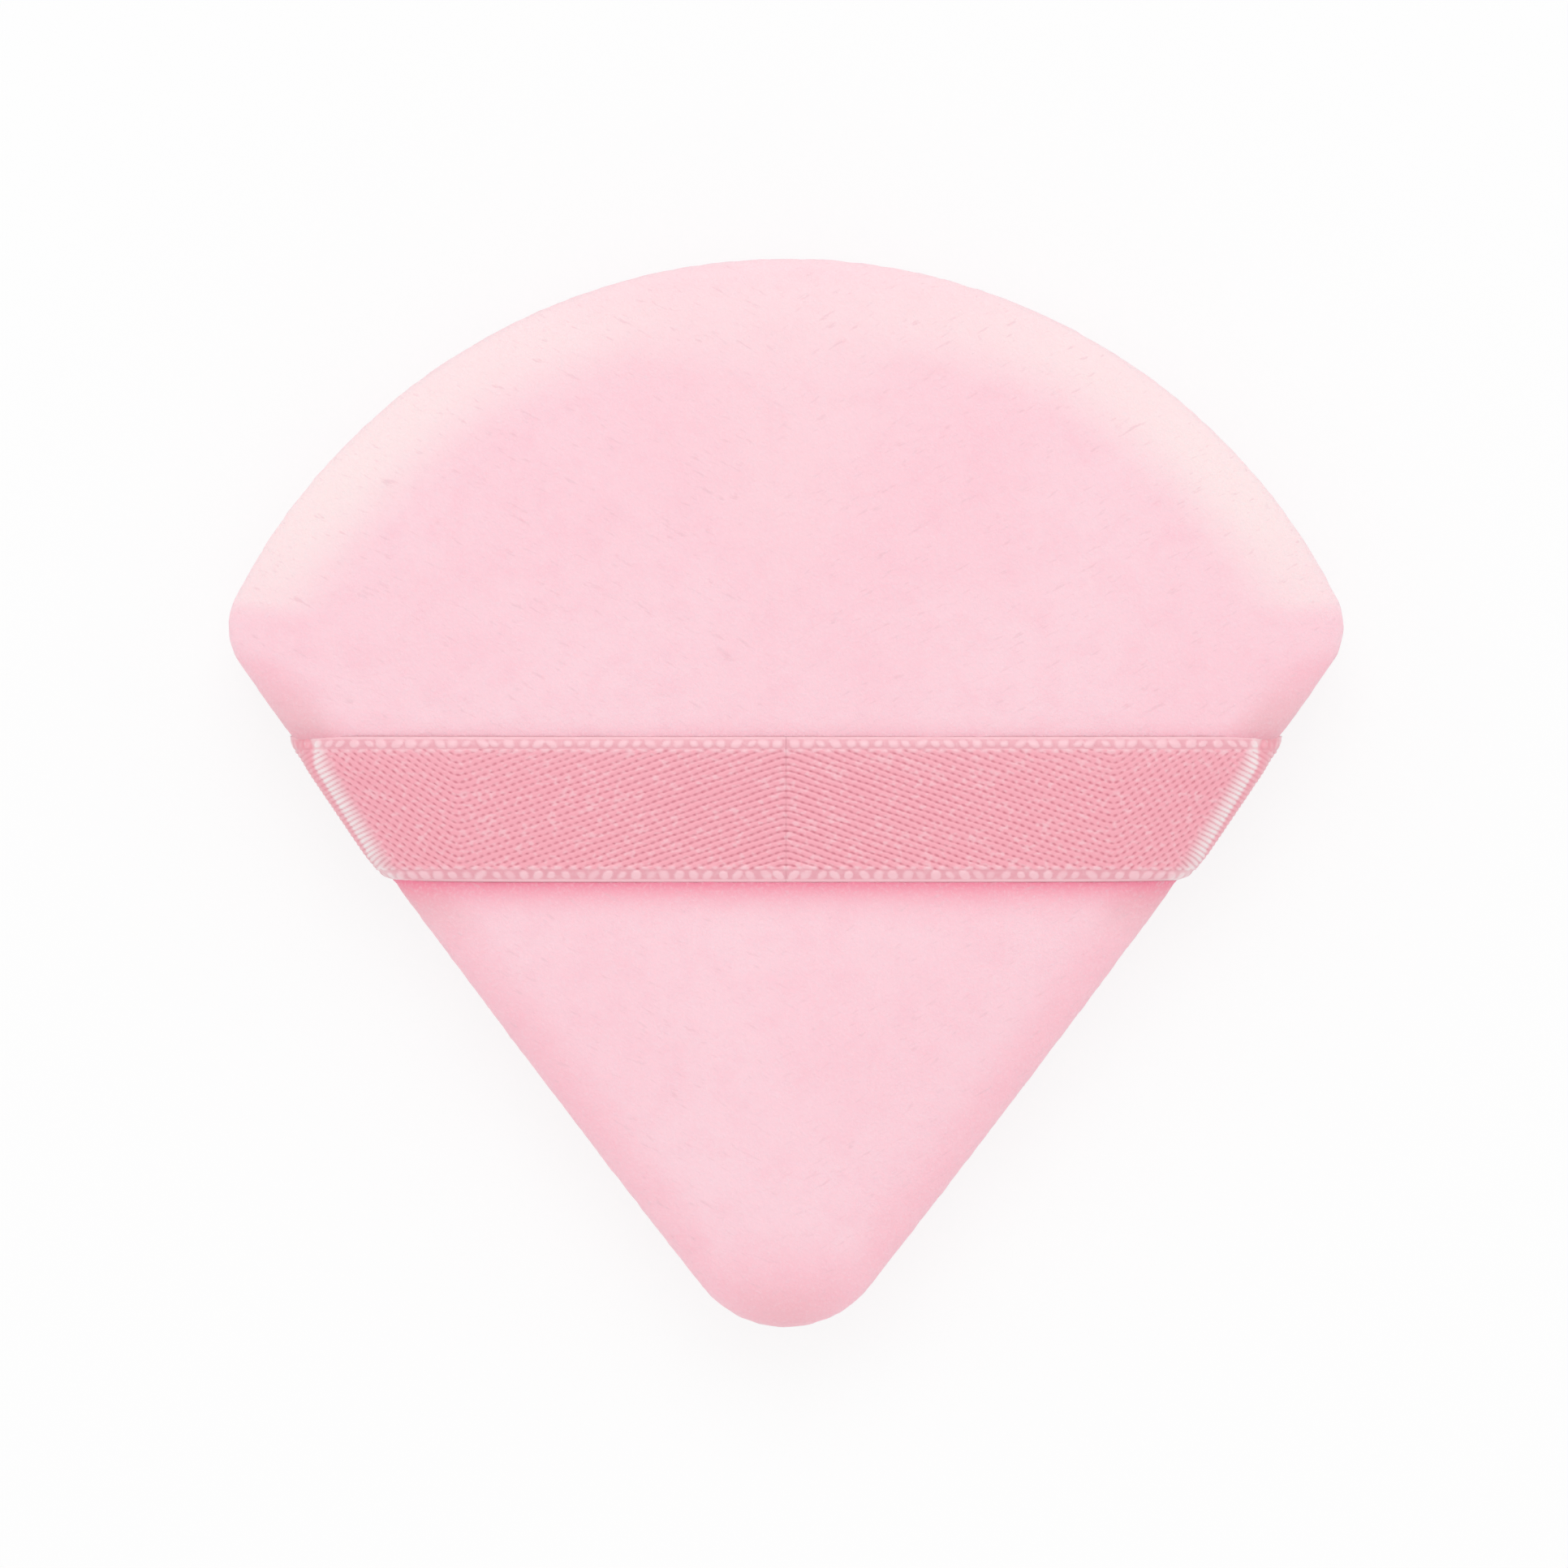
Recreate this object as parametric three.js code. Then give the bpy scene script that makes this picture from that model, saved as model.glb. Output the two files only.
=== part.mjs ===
// Powder puff lying on its powder face: a fan-shaped velour pad with a ribbon strap for the fingers.
// Millimetres. +Z is up, +Y points from the rounded tip to the wide arc, and the table is at z = 0.

import * as THREE from "three";

// The pad seen from above
const PAD_WIDTH = 77;
const PAD_LENGTH = 73.8;
const CORNER_DROP = 25.45; // from the top of the arc down to the centres of the corner circles
const CORNER_RADIUS = 4.35;
const TIP_RADIUS = 7.3;
const SIDE_RADIUS = 890; // the two sides are very slightly full
const CROWN_RADIUS = 8; // the level disc at the middle of each face

// The pad in section
const UPPER_RISE = 6.2; // from the seam to the crown of the strap side
const LOWER_DEPTH = 5.3; // from the seam to the crown of the powder side, before it is pressed flat
const RESTING_CUT = 0.5; // how much of the lower crown the table presses flat
const FULLNESS = 4; // shape of the flank: 2 is an ellipse, and more is fuller

// Cloth, foam and thread
const FABRIC = 1.1; // velour with its pile
const SEAM_ALLOWANCE = 5; // width of the cloth turned in along the seam
const FOLD_ROOM = 0.2; // between the turned-in allowance and the inner face of the flank
const STITCH_INSET = 3.2; // from the edge to the row of stitches
const THREAD_RADIUS = 0.2;
const CLEARANCE = 0.3; // between pieces that touch

// The ribbon
const RIBBON_WIDTH = 10;
const RIBBON_THICKNESS = 0.4;
const RIBBON_MIDDLE = -1.14; // y of the ribbon's centre line
const SHOULDER_REACH = 14; // from the edge of the pad to where a shoulder meets the level span
const TAIL_DEPTH = 4; // length of ribbon caught in the seam

// The closing stitch, on the right side below the ribbon
const CLOSING_START = 6; // below the ribbon's lower edge
const CLOSING_LENGTH = 20;
const CLOSING_STEPS = 7; // there-and-back passes of the thread
const CLOSING_NEAR = 0.8; // inset of the passes' outer and inner turns
const CLOSING_FAR = 2.4;
const CLOSING_CUTS = 6; // points of the thread's path in each pass

// How finely the curves are cut
const TIP_CUTS = 6;
const SIDE_CUTS = 10;
const CORNER_CUTS = 4;
const ARC_CUTS = 14;
const FLANK_CUTS = 7;
const INSIDE_CUTS = 4; // the faces that don't show
const THREAD_CUTS = 6;
const GAPE_CUTS = 1.2; // cuts of the side that gape above and below what lies in the seam

// Heights that follow from the section: the seam is nearly shut, and gapes where the ribbon goes in
const seamHeight = LOWER_DEPTH - RESTING_CUT + CLEARANCE / 2;
const crownHeight = seamHeight + CLEARANCE / 2 + UPPER_RISE;
const keelHeight = seamHeight - CLEARANCE / 2 - LOWER_DEPTH;
const gapingSeat = RIBBON_THICKNESS / 2 + CLEARANCE;
const ribbonSeat = seamHeight + gapingSeat;
const ribbonRise = crownHeight - ribbonSeat;
const ribbonTop = RIBBON_MIDDLE + RIBBON_WIDTH / 2;
const ribbonBottom = RIBBON_MIDDLE - RIBBON_WIDTH / 2;

// The outline is six arcs, each running smoothly into the next: tip, side, corner, top arc, corner, side.
const halfWidth = PAD_WIDTH / 2;
const halfLength = PAD_LENGTH / 2;
const cornerCentre = new THREE.Vector2(halfWidth - CORNER_RADIUS, halfLength - CORNER_DROP);
const arcRadius =
  (cornerCentre.x ** 2 + CORNER_DROP ** 2 - CORNER_RADIUS ** 2) / (2 * (CORNER_DROP - CORNER_RADIUS));
const arcCentre = new THREE.Vector2(0, halfLength - arcRadius);
const tipCentre = new THREE.Vector2(0, TIP_RADIUS - halfLength);
const sideCentre = centreTouchingBoth(tipCentre, TIP_RADIUS, cornerCentre, CORNER_RADIUS, SIDE_RADIUS);

// Centre of a large circle that two smaller ones touch from the inside, on the left of the way between them.
function centreTouchingBoth(first, firstRadius, second, secondRadius, radius) {
  const way = second.clone().sub(first);
  const apart = way.length();
  const fromFirst = radius - firstRadius;
  const fromSecond = radius - secondRadius;
  const along = (fromFirst ** 2 - fromSecond ** 2 + apart ** 2) / (2 * apart);
  const across = Math.sqrt(fromFirst ** 2 - along ** 2);
  way.normalize();
  const leftwards = new THREE.Vector2(-way.y, way.x);
  return first.clone().addScaledVector(way, along).addScaledVector(leftwards, across);
}

function bearing(from, to) {
  return Math.atan2(to.y - from.y, to.x - from.x);
}

const cornerToArc = bearing(arcCentre, cornerCentre);
const cornerToSide = bearing(sideCentre, cornerCentre);
const tipToSide = bearing(sideCentre, tipCentre);
const sideFacing = (cornerToSide + tipToSide) / 2;
const sideOut = new THREE.Vector2(Math.cos(sideFacing), Math.sin(sideFacing));

// The crown's middle is as far from the top of the arc as from the two sides.
const sideDistance = sideOut.dot(sideCentre) + SIDE_RADIUS;
const crownCentre = new THREE.Vector2(0, (halfLength - sideDistance) / (1 - sideOut.y));
const sideReach = halfLength - crownCentre.y - CROWN_RADIUS;

// Where the seam gapes, with some of the side to spare above and below what lies in it.
const gapeSpare = (GAPE_CUTS * (cornerCentre.y - tipCentre.y)) / SIDE_CUTS;
const closingTop = ribbonBottom - CLOSING_START;
const closingBottom = closingTop - CLOSING_LENGTH * sideOut.x;

function gapes(point) {
  const byRibbon = point.y < ribbonTop + gapeSpare && point.y > ribbonBottom - gapeSpare;
  const byClosing = point.y < closingTop + gapeSpare && point.y > closingBottom - gapeSpare;
  return byRibbon || (byClosing && point.x > 0);
}

// Spots round the outline, anticlockwise. Each has the way it faces, its distance to the crown's disc
// and half the seam's gap.
const spots = [];
addArc(tipCentre, TIP_RADIUS, -Math.PI - tipToSide, tipToSide, TIP_CUTS);
addArc(sideCentre, SIDE_RADIUS, tipToSide, cornerToSide, SIDE_CUTS);
addArc(cornerCentre, CORNER_RADIUS, cornerToSide, cornerToArc, CORNER_CUTS);
addArc(arcCentre, arcRadius, cornerToArc, Math.PI - cornerToArc, ARC_CUTS);
addArc(mirrored(cornerCentre), CORNER_RADIUS, Math.PI - cornerToArc, Math.PI - cornerToSide, CORNER_CUTS);
addArc(mirrored(sideCentre), SIDE_RADIUS, Math.PI - cornerToSide, Math.PI - tipToSide, SIDE_CUTS);

function mirrored(point) {
  return new THREE.Vector2(-point.x, point.y);
}

function addArc(centre, radius, start, end, cuts) {
  for (let i = 0; i < cuts; i += 1) {
    const angle = start + ((end - start) * i) / cuts;
    const out = new THREE.Vector2(Math.cos(angle), Math.sin(angle));
    const at = centre.clone().addScaledVector(out, radius);
    const reach = at.clone().sub(crownCentre).dot(out) - CROWN_RADIUS;
    const seat = gapes(at) ? gapingSeat : CLEARANCE / 2;
    spots.push({ at, out, reach, seat });
  }
}

// A point over the pad: share is 0 at the outline and 1 at the crown's disc, and outwards moves it level.
function place(spot, share, outwards, z) {
  const inner = crownCentre.clone().addScaledVector(spot.out, CROWN_RADIUS);
  const point = spot.at.clone().lerp(inner, share).addScaledVector(spot.out, outwards);
  return [point.x, point.y, z];
}

// How high the flank stands at a share of the way in, and the share where it stands that high.
function flankHeight(share) {
  return Math.pow(1 - Math.pow(1 - share, FULLNESS), 1 / FULLNESS);
}

function flankShare(height) {
  return 1 - Math.pow(1 - Math.pow(height, FULLNESS), 1 / FULLNESS);
}

// The flank's facing, as its outward and upward parts.
function flankFacing(share, rise, reach) {
  const out = Math.pow(1 - share, FULLNESS - 1) / reach;
  const up = Math.pow(flankHeight(share), FULLNESS - 1) / rise;
  const size = Math.hypot(out, up);
  return { out: out / size, up: up / size };
}

// Shares from start to end, closest together where the flank is steep.
function flankShares(start, end, cuts) {
  const angleOf = (share) => Math.acos(Math.pow(1 - share, FULLNESS / 2));
  const first = angleOf(start);
  const last = angleOf(end);
  const shares = [];
  for (let i = 0; i <= cuts; i += 1) {
    const angle = first + ((last - first) * i) / cuts;
    shares.push(1 - Math.pow(Math.max(Math.cos(angle), 0), 2 / FULLNESS));
  }
  return shares;
}

// Contours of the two faces, raised from the surface by a layer, or sunk below it by a negative one.
function upperContour(share, layer) {
  return (spot) => {
    const seat = seamHeight + spot.seat;
    const facing = flankFacing(share, crownHeight - seat, spot.reach);
    const z = seat + (crownHeight - seat) * flankHeight(share) + layer * facing.up;
    return place(spot, share, layer * facing.out, z);
  };
}

function lowerContour(share, layer) {
  return (spot) => {
    const seat = seamHeight - spot.seat;
    const facing = flankFacing(share, seat - keelHeight, spot.reach);
    const z = seat - (seat - keelHeight) * flankHeight(share) - layer * facing.up;
    return place(spot, share, layer * facing.out, Math.max(z, -layer));
  };
}

// Contours that lie above or below the seam by a distance from the seam allowance's own face.
function upperLevel(inset, above) {
  return (spot) => place(spot, inset / sideReach, 0, seamHeight + spot.seat + above);
}

function lowerLevel(inset, below) {
  return (spot) => place(spot, inset / sideReach, 0, seamHeight - spot.seat - below);
}

// A solid from corners and triangles, turned to face out.
function solidGeometry(corners, triangles) {
  let volume = 0;
  for (const [a, b, c] of triangles) {
    const [p, q, r] = [corners[a], corners[b], corners[c]];
    volume += p[0] * (q[1] * r[2] - q[2] * r[1]);
    volume += p[1] * (q[2] * r[0] - q[0] * r[2]);
    volume += p[2] * (q[0] * r[1] - q[1] * r[0]);
  }
  const facing = volume < 0 ? triangles.map(([a, b, c]) => [a, c, b]) : triangles;
  const geometry = new THREE.BufferGeometry();
  geometry.setAttribute("position", new THREE.Float32BufferAttribute(corners.flat(), 3));
  geometry.setIndex(facing.flat());
  geometry.computeVertexNormals();
  return geometry;
}

// A solid through rings of equal length: the ends are closed, or joined to each other where it loops.
function loft(rings, loops) {
  const corners = rings.flat();
  const round = rings[0].length;
  const triangles = [];
  const steps = loops ? rings.length : rings.length - 1;
  for (let k = 0; k < steps; k += 1) {
    const here = k * round;
    const next = ((k + 1) % rings.length) * round;
    for (let j = 0; j < round; j += 1) {
      const turn = (j + 1) % round;
      triangles.push([here + j, next + j, next + turn]);
      triangles.push([here + j, next + turn, here + turn]);
    }
  }
  if (!loops) {
    closeEnd(corners, triangles, 0, round, false);
    closeEnd(corners, triangles, (rings.length - 1) * round, round, true);
  }
  return solidGeometry(corners, triangles);
}

function closeEnd(corners, triangles, first, round, last) {
  const middle = [0, 0, 0];
  for (let j = 0; j < round; j += 1) {
    corners[first + j].forEach((value, axis) => (middle[axis] += value / round));
  }
  corners.push(middle);
  const centre = corners.length - 1;
  for (let j = 0; j < round; j += 1) {
    const here = first + j;
    const turn = first + ((j + 1) % round);
    triangles.push(last ? [here, centre, turn] : [centre, here, turn]);
  }
}

function padSolid(contours, loops = false) {
  return loft(contours.map((contour) => spots.map(contour)), loops);
}

// Front cover: over the crown, down to the seam, in along the seam allowance and back up the inside.
const foldInset = FABRIC + FOLD_ROOM;
const innerStart = flankShare((2 * FABRIC) / UPPER_RISE);
const frontCover = padSolid([
  ...flankShares(0, 1, FLANK_CUTS).reverse().map((share) => upperContour(share, 0)),
  upperLevel(SEAM_ALLOWANCE, 0),
  upperLevel(SEAM_ALLOWANCE, FABRIC),
  upperLevel(foldInset, FABRIC),
  ...flankShares(innerStart, 1, INSIDE_CUTS).map((share) => upperContour(share, -FABRIC)),
]);

// Back cover: the same cut the other way up, and flat where it rests.
const restingShare = flankShare(1 - RESTING_CUT / LOWER_DEPTH);
const innerLowerStart = flankShare((2 * FABRIC) / LOWER_DEPTH);
const backCover = padSolid([
  ...flankShares(innerLowerStart, restingShare, INSIDE_CUTS)
    .reverse()
    .map((share) => lowerContour(share, -FABRIC)),
  lowerLevel(foldInset, FABRIC),
  lowerLevel(SEAM_ALLOWANCE, FABRIC),
  lowerLevel(SEAM_ALLOWANCE, 0),
  ...flankShares(0, restingShare, FLANK_CUTS).map((share) => lowerContour(share, 0)),
]);

// Foam: crowned on both faces, cut straight along an edge that clears the seam allowances.
const foamLayer = -(FABRIC + CLEARANCE);
const foamEdge = (SEAM_ALLOWANCE + CLEARANCE) / sideReach;
const foamCore = padSolid([
  ...flankShares(foamEdge, 1, INSIDE_CUTS).reverse().map((share) => upperContour(share, foamLayer)),
  ...flankShares(foamEdge, restingShare, INSIDE_CUTS).map((share) => lowerContour(share, foamLayer)),
]);

// The seam's two threads lie round the inner faces of the seam allowances.
function seamThread(way) {
  const contours = [];
  for (let i = 0; i < THREAD_CUTS; i += 1) {
    const angle = (2 * Math.PI * i) / THREAD_CUTS;
    const outwards = THREAD_RADIUS * Math.cos(angle);
    const standoff = FABRIC + CLEARANCE + THREAD_RADIUS + THREAD_RADIUS * Math.sin(angle);
    contours.push((spot) => {
      const z = seamHeight + way * (spot.seat + standoff);
      return place(spot, STITCH_INSET / sideReach, outwards, z);
    });
  }
  return padSolid(contours, true);
}

const needleThread = seamThread(1);
const bobbinThread = seamThread(-1);

// x of the right side at a height y, at a share of the way in.
function sideX(share, y) {
  const centre = sideCentre.clone().lerp(crownCentre, share);
  const radius = THREE.MathUtils.lerp(SIDE_RADIUS, CROWN_RADIUS, share);
  return centre.x + Math.sqrt(radius ** 2 - (y - centre.y) ** 2);
}

// Closing stitch: a thread that runs to and fro between the two seam allowances.
const closingPath = [];
const closingPoints = CLOSING_CUTS * CLOSING_STEPS;
for (let i = 0; i <= closingPoints; i += 1) {
  const y = THREE.MathUtils.lerp(closingTop, closingBottom, i / closingPoints);
  const swing = 0.5 - 0.5 * Math.cos((2 * Math.PI * CLOSING_STEPS * i) / closingPoints);
  const inset = THREE.MathUtils.lerp(CLOSING_NEAR, CLOSING_FAR, swing);
  closingPath.push(new THREE.Vector3(sideX(inset / sideReach, y), y, seamHeight));
}
const threadSection = new THREE.Shape();
threadSection.absarc(0, 0, THREAD_RADIUS, 0, 2 * Math.PI);
const closingStitch = new THREE.ExtrudeGeometry(threadSection, {
  steps: closingPoints,
  curveSegments: THREAD_CUTS / 2,
  extrudePath: new THREE.CatmullRomCurve3(closingPath),
});

// The ribbon keeps its edges straight across the pad, so each row of it is level in y.
function ribbonRow(inset, lift, side) {
  const share = inset / sideReach;
  const facing = flankFacing(share, ribbonRise, sideReach);
  const base = ribbonSeat + ribbonRise * flankHeight(share);
  const corner = (y, layer) => {
    const x = sideX(share, y) + (layer * facing.out) / sideOut.x;
    return [side * x, y, base + layer * facing.up];
  };
  return rowOf(corner, lift, lift + RIBBON_THICKNESS);
}

function levelRow(inset, z, side) {
  const corner = (y, height) => [side * sideX(inset / sideReach, y), y, height];
  return rowOf(corner, z, z + RIBBON_THICKNESS);
}

function rowOf(corner, under, over) {
  const lower = [corner(ribbonBottom, under), corner(ribbonTop, under)];
  const upper = [corner(ribbonTop, over), corner(ribbonBottom, over)];
  return [...lower, ...upper];
}

// Shoulder: from the seam up round the edge, rising clear of the pad until it is level with the span.
const spanHeight = crownHeight + CLEARANCE;
const shoulderShare = SHOULDER_REACH / sideReach;
const spanStandoff = ribbonRise * (1 - flankHeight(shoulderShare));

function ribbonShoulder(side) {
  const rows = flankShares(0, shoulderShare, FLANK_CUTS).map((share) => {
    const lift = CLEARANCE + spanStandoff * (share / shoulderShare) ** 2;
    return ribbonRow(share * sideReach, lift, side);
  });
  return loft(rows, false);
}

// Tail: the end that is turned in between the two seam allowances.
function ribbonTail(side) {
  const under = seamHeight - RIBBON_THICKNESS / 2;
  const outerInset = -(CLEARANCE + RIBBON_THICKNESS);
  return loft([levelRow(outerInset, under, side), levelRow(TAIL_DEPTH, under, side)], false);
}

const spanInset = SHOULDER_REACH + CLEARANCE;
const ribbonSpan = loft([levelRow(spanInset, spanHeight, 1), levelRow(spanInset, spanHeight, -1)], false);

// Colours and surfaces
function surface(colour, roughness) {
  return new THREE.MeshStandardMaterial({ color: colour, roughness, metalness: 0 });
}

const group = new THREE.Group();

function add(name, geometry, material) {
  const mesh = new THREE.Mesh(geometry, material);
  mesh.name = name;
  group.add(mesh);
}

add("front_cover", frontCover, surface("#fdd0da", 0.95));
add("back_cover", backCover, surface("#fdd0da", 0.95));
add("foam_core", foamCore, surface("#f6efe8", 1));
add("needle_thread", needleThread, surface("#f7bccb", 0.7));
add("bobbin_thread", bobbinThread, surface("#f7bccb", 0.7));
add("closing_stitch", closingStitch, surface("#f7bccb", 0.7));
add("ribbon_span", ribbonSpan, surface("#f5a9b8", 0.5));
for (const [word, side] of [["left", -1], ["right", 1]]) {
  add("ribbon_shoulder_" + word, ribbonShoulder(side), surface("#f5a9b8", 0.5));
  add("ribbon_tail_" + word, ribbonTail(side), surface("#f5a9b8", 0.5));
}

export default group;
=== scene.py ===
# A fan-shaped velour powder puff with a ribbon strap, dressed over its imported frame.
# Shapes are worked out in millimetres, in the frame's own axes, and turned into metres as each mesh is made.

import math

import bpy
import numpy as np
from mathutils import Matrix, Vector, noise


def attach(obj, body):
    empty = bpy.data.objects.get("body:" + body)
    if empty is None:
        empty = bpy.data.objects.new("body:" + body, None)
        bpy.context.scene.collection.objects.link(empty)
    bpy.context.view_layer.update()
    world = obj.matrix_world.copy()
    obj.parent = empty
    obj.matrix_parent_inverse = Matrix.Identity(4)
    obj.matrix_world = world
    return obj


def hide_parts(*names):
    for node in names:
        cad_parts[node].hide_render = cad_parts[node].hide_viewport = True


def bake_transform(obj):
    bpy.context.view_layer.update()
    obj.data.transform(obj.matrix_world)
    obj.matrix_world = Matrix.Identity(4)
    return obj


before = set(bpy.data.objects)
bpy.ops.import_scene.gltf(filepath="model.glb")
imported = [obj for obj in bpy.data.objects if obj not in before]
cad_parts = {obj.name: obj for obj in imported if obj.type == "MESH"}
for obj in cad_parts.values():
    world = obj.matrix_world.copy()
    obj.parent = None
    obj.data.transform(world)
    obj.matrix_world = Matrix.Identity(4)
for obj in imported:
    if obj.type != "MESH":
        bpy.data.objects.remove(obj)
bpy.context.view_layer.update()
scene = bpy.context.scene

MM = 0.001

# The pad seen from above
PAD_WIDTH = 77.0
PAD_LENGTH = 73.8
CORNER_DROP = 25.45  # from the top down to the corners' centres
CORNER_RADIUS = 4.35
TIP_RADIUS = 7.3
SIDE_RADIUS = 890.0
CROWN_RADIUS = 8.0  # of the level disc in each face

# The pad in section
SEAM_HEIGHT = 4.95
CROWN_HEIGHT = 11.1  # before the filling pushes it out
KEEL_HEIGHT = -0.35  # before the table presses it flat
FULLNESS = 4.0  # of the flank: 2 is an ellipse, and more is fuller
FOLD_DEPTH = 0.8  # of the crease at the seam
FOLD_RISE = 1.3  # from the seam to where the cloth is upright
SEAM_GAP = 0.02  # half the slit between the panels
GAPING_SEAM = 0.2  # the same where the ribbon lies in it
GAPE_SOFTNESS = 0.5  # length of seam over which it opens
FABRIC = 1.1
SEAM_ALLOWANCE = 5.0
ALLOWANCE_GAP = 0.3  # at the two ends of the seam allowance
FOAM_GAP = 0.35  # between the velour's back and the foam
FLOOR_CLEARANCE = 0.02

# The ribbon
RIBBON_WIDTH = 10.0
RIBBON_THICKNESS = 0.22
RIBBON_MIDDLE = -1.14  # y of its centre line
RIBBON_LEVEL = 11.15  # underside at the middle of the pad
RIBBON_FULLNESS = 4.2
RIBBON_REACH = 19.0  # from the seam to where it is level
TOP_PROUD = 0.45  # out past the pad's edge, at its top
MOST_PROUD = 0.7  # and low on its width
LOW_CORNER = 2.1  # length of the rounded lower corner
LOW_CORNER_ROUND = 0.85  # where 1 brings it back to the pad's edge
TOP_LEAN = 0.8  # how much further in it bends at its upper edge
LEAN_START = 2.5  # above its middle line
LEAN_CLIMB = 0.6  # share of the climb by which it is all there
SEAM_TURN = 0.35  # radius of the turn into the seam
EDGE_ROUND = 0.8  # width of its rounded edges
PRESS_DEPTH = 8.0  # inset up to which the pad's edge is pressed inwards
RIB_HEIGHT = 0.075
TAIL_DEPTH = 4.0
PINCH_SOFTNESS = 1.6  # of the pad's edge, drawn in beside the ribbon
DENT_SOFTNESS = 3.2  # of the slope down to the ribbon on the face
CLEARANCE = 0.04
EDGE_TUCK = 0.35  # under the ribbon's edges, where the pile starts to rise
MOST_RISE = 0.4  # of the face to meet the ribbon
FACE_ANGLES = (0.4, 1.2)  # radians over the seam, where the pad's edge becomes its face
RISE_ANGLES = (0.5, 1.0)  # and where that lift sets in
SLOPE_POWER = 2.5  # of the slopes beside it: 1 is straight, and more is hollower
PRESS_LINES = 40  # along which the pad is fitted to the ribbon

# The closing stitch, on the right side below the ribbon
CLOSING_START = 6.0
CLOSING_LENGTH = 20.0
CLOSING_BARS = 9
BAR_RISE = 0.5  # from the seam to where a bar goes into the cloth
BAR_INSET = 0.2  # of the bars inside the crease
BURIED_INSET = 1.1  # of the thread between the bars
BAR_STOPS = (-1.5, -1, 0, 1, 1.5)  # in shares of the rise, the outer two in the cloth
PLY_RADIUS = 0.11
PLY_TWIST = 0.9  # length of one turn of a two-ply thread
PLY_ASIDE = (0.3, 0.5, 0.8)  # a way that no stretch of thread follows

# The lockstitch of the seam
STITCH_INSET = 3.2
STITCH_LENGTH = 2.4
STITCH_RADIUS = 0.18
STITCH_LEVEL = 0.2  # over the seam allowance
STITCH_DIP = 0.6  # at every hole
DIP_SHARPNESS = 12

# How finely the surfaces are cut
SKIN_STEP = 0.34
SKIN_ROWS = 64
DISC_ROWS = 22
FOLD_ROWS = 10
SWELL_ROWS = 4  # past the fold, over which the swelling sets in
INNER_EVERY = 7  # outer rows to an inner one
FOAM_EVERY = 2  # and to one of foam
CAGE_STEP = 2.0
CAGE_ROWS = 12
CAGE_DISC_ROWS = 4
COURSE_CUTS = 500
TURN_CUTS = 12
RIBBON_CUTS = (118, 430)  # across and along
RIBBON_CUTS_UNDER = 16
BAR_CUTS = 10
PLY_SIDES = 7
STITCH_STEP = 0.4
STITCH_SIDES = 8
TINY = 1e-12  # keeps a division from failing

# The cloth simulation
SIM_SCALE = 10.0  # at ten times its size, the solver is steady
CAGE_VOXEL = 1.8
CLOTH = {
    "quality": 6,
    "tension_stiffness": 40.0,
    "compression_stiffness": 40.0,
    "vertex_group_mass": "held",
    "pin_stiffness": 0.4,
    "use_pressure": True,
    "uniform_pressure_force": 6.0,
}
FOAM_HOLD = 0.4  # on the cover, where the seam's hold is 1
SEAM_HOLD = FOLD_RISE + 0.3  # above and below the seam
SIM_FRAMES = 24
SIM_DISTANCE = 0.001  # between surfaces, in metres
MOST_SWELL = 0.7
SIM_SKIN = 0.2  # between the cloth and what it lies against
COLLIDER_INSET = 1.5  # where the ribbon's slab ends
COLLIDER_CUTS = (9, 90)  # across and along that slab
SLAB_THICKNESS = 3.0
TABLE_THICKNESS = 10.0
SWELL_SPREAD = 1.5  # over which the cage's movement is averaged
SWELL_PORTIONS = 80  # to keep its tables small

# The unevenness of the pile and the foam
NAP_HEIGHT = 0.05
NAP_GRAIN = 1.1  # tufts in a millimetre
NAP_LAYERS = (0.8, 2.0, 3)  # fading, refining and number
CELL_HEIGHT = 0.12
CELL_GRAIN = 1.4  # cells to a tuft

# Painted highlight and painted shade on the pile, by the way the edge faces, in degrees up from level, and
# by the inset from the edge
UPPER_FACING = (5, 40)  # the upper rim, where the pile gets a painted highlight
SHOULDER_FACING = (40, 60)
SHOULDER_LOSS = 0.2  # of the painted highlight there
TOP_FACING = (60, 90)
TOP_LOSS = 0.4  # and there
HIGHLIGHT_START = 2.0  # inset where the painted highlight begins to fade
HIGHLIGHT_WIDTH = 7.5  # inset where it ends
TOP_WIDENING = 2.0  # of both at the top
HIGHLIGHT_RISE = 4.0  # over the seam, where the painted highlight is full
RIM_LOSS = 0.3  # of the painted highlight close to the top's rim
RIM_INSET = (0.5, 3)
BROAD_SHARE = 0.2  # of the painted highlight further in
BROAD_START = (4, 9)
BROAD_END = (16, 26)
LOWER_FACING = (10, 36)  # the lower sides, where the pile gets painted shade
LOWER_SHADE_WIDTH = 4.2
LOWER_SHADE_START = LOWER_SHADE_WIDTH / 5  # inset where it begins to fade
LOWER_SHADE_SHARE = 0.35
TIP_FACING = (45, 90)
TIP_DARKENING = 0.5
SHADE_SHARE = 0.36  # of the painted shade where the ribbon goes round the rim, and at the tip
PINCH_WIDTH = 5.0  # of that shade beside the ribbon
PINCH_INSET = (1.5, 4)
TIP_SHADE = 0.7  # as a share of that
TIP_INSET = (1, 4)
SHADOW_ABOVE = 2.0  # width of the painted shadow beside the ribbon's upper edge, where it presses the pile
SHADOW_BELOW = 4.0  # and beside its lower edge
# share of that painted shadow at the upper edge, where the lower edge has 1
UPPER_SHADOW_SHARE = 0.67
SHADOW_POWER = 3.0  # more gathers it closer to the ribbon
STROKE_GRAIN = (0.8, 3.2, 1.6)  # in a millimetre, along the strokes, across them and up
STROKE_SLANT = 0.5
STROKE_BLEND = 3.0  # half the width where the two slants meet

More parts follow.
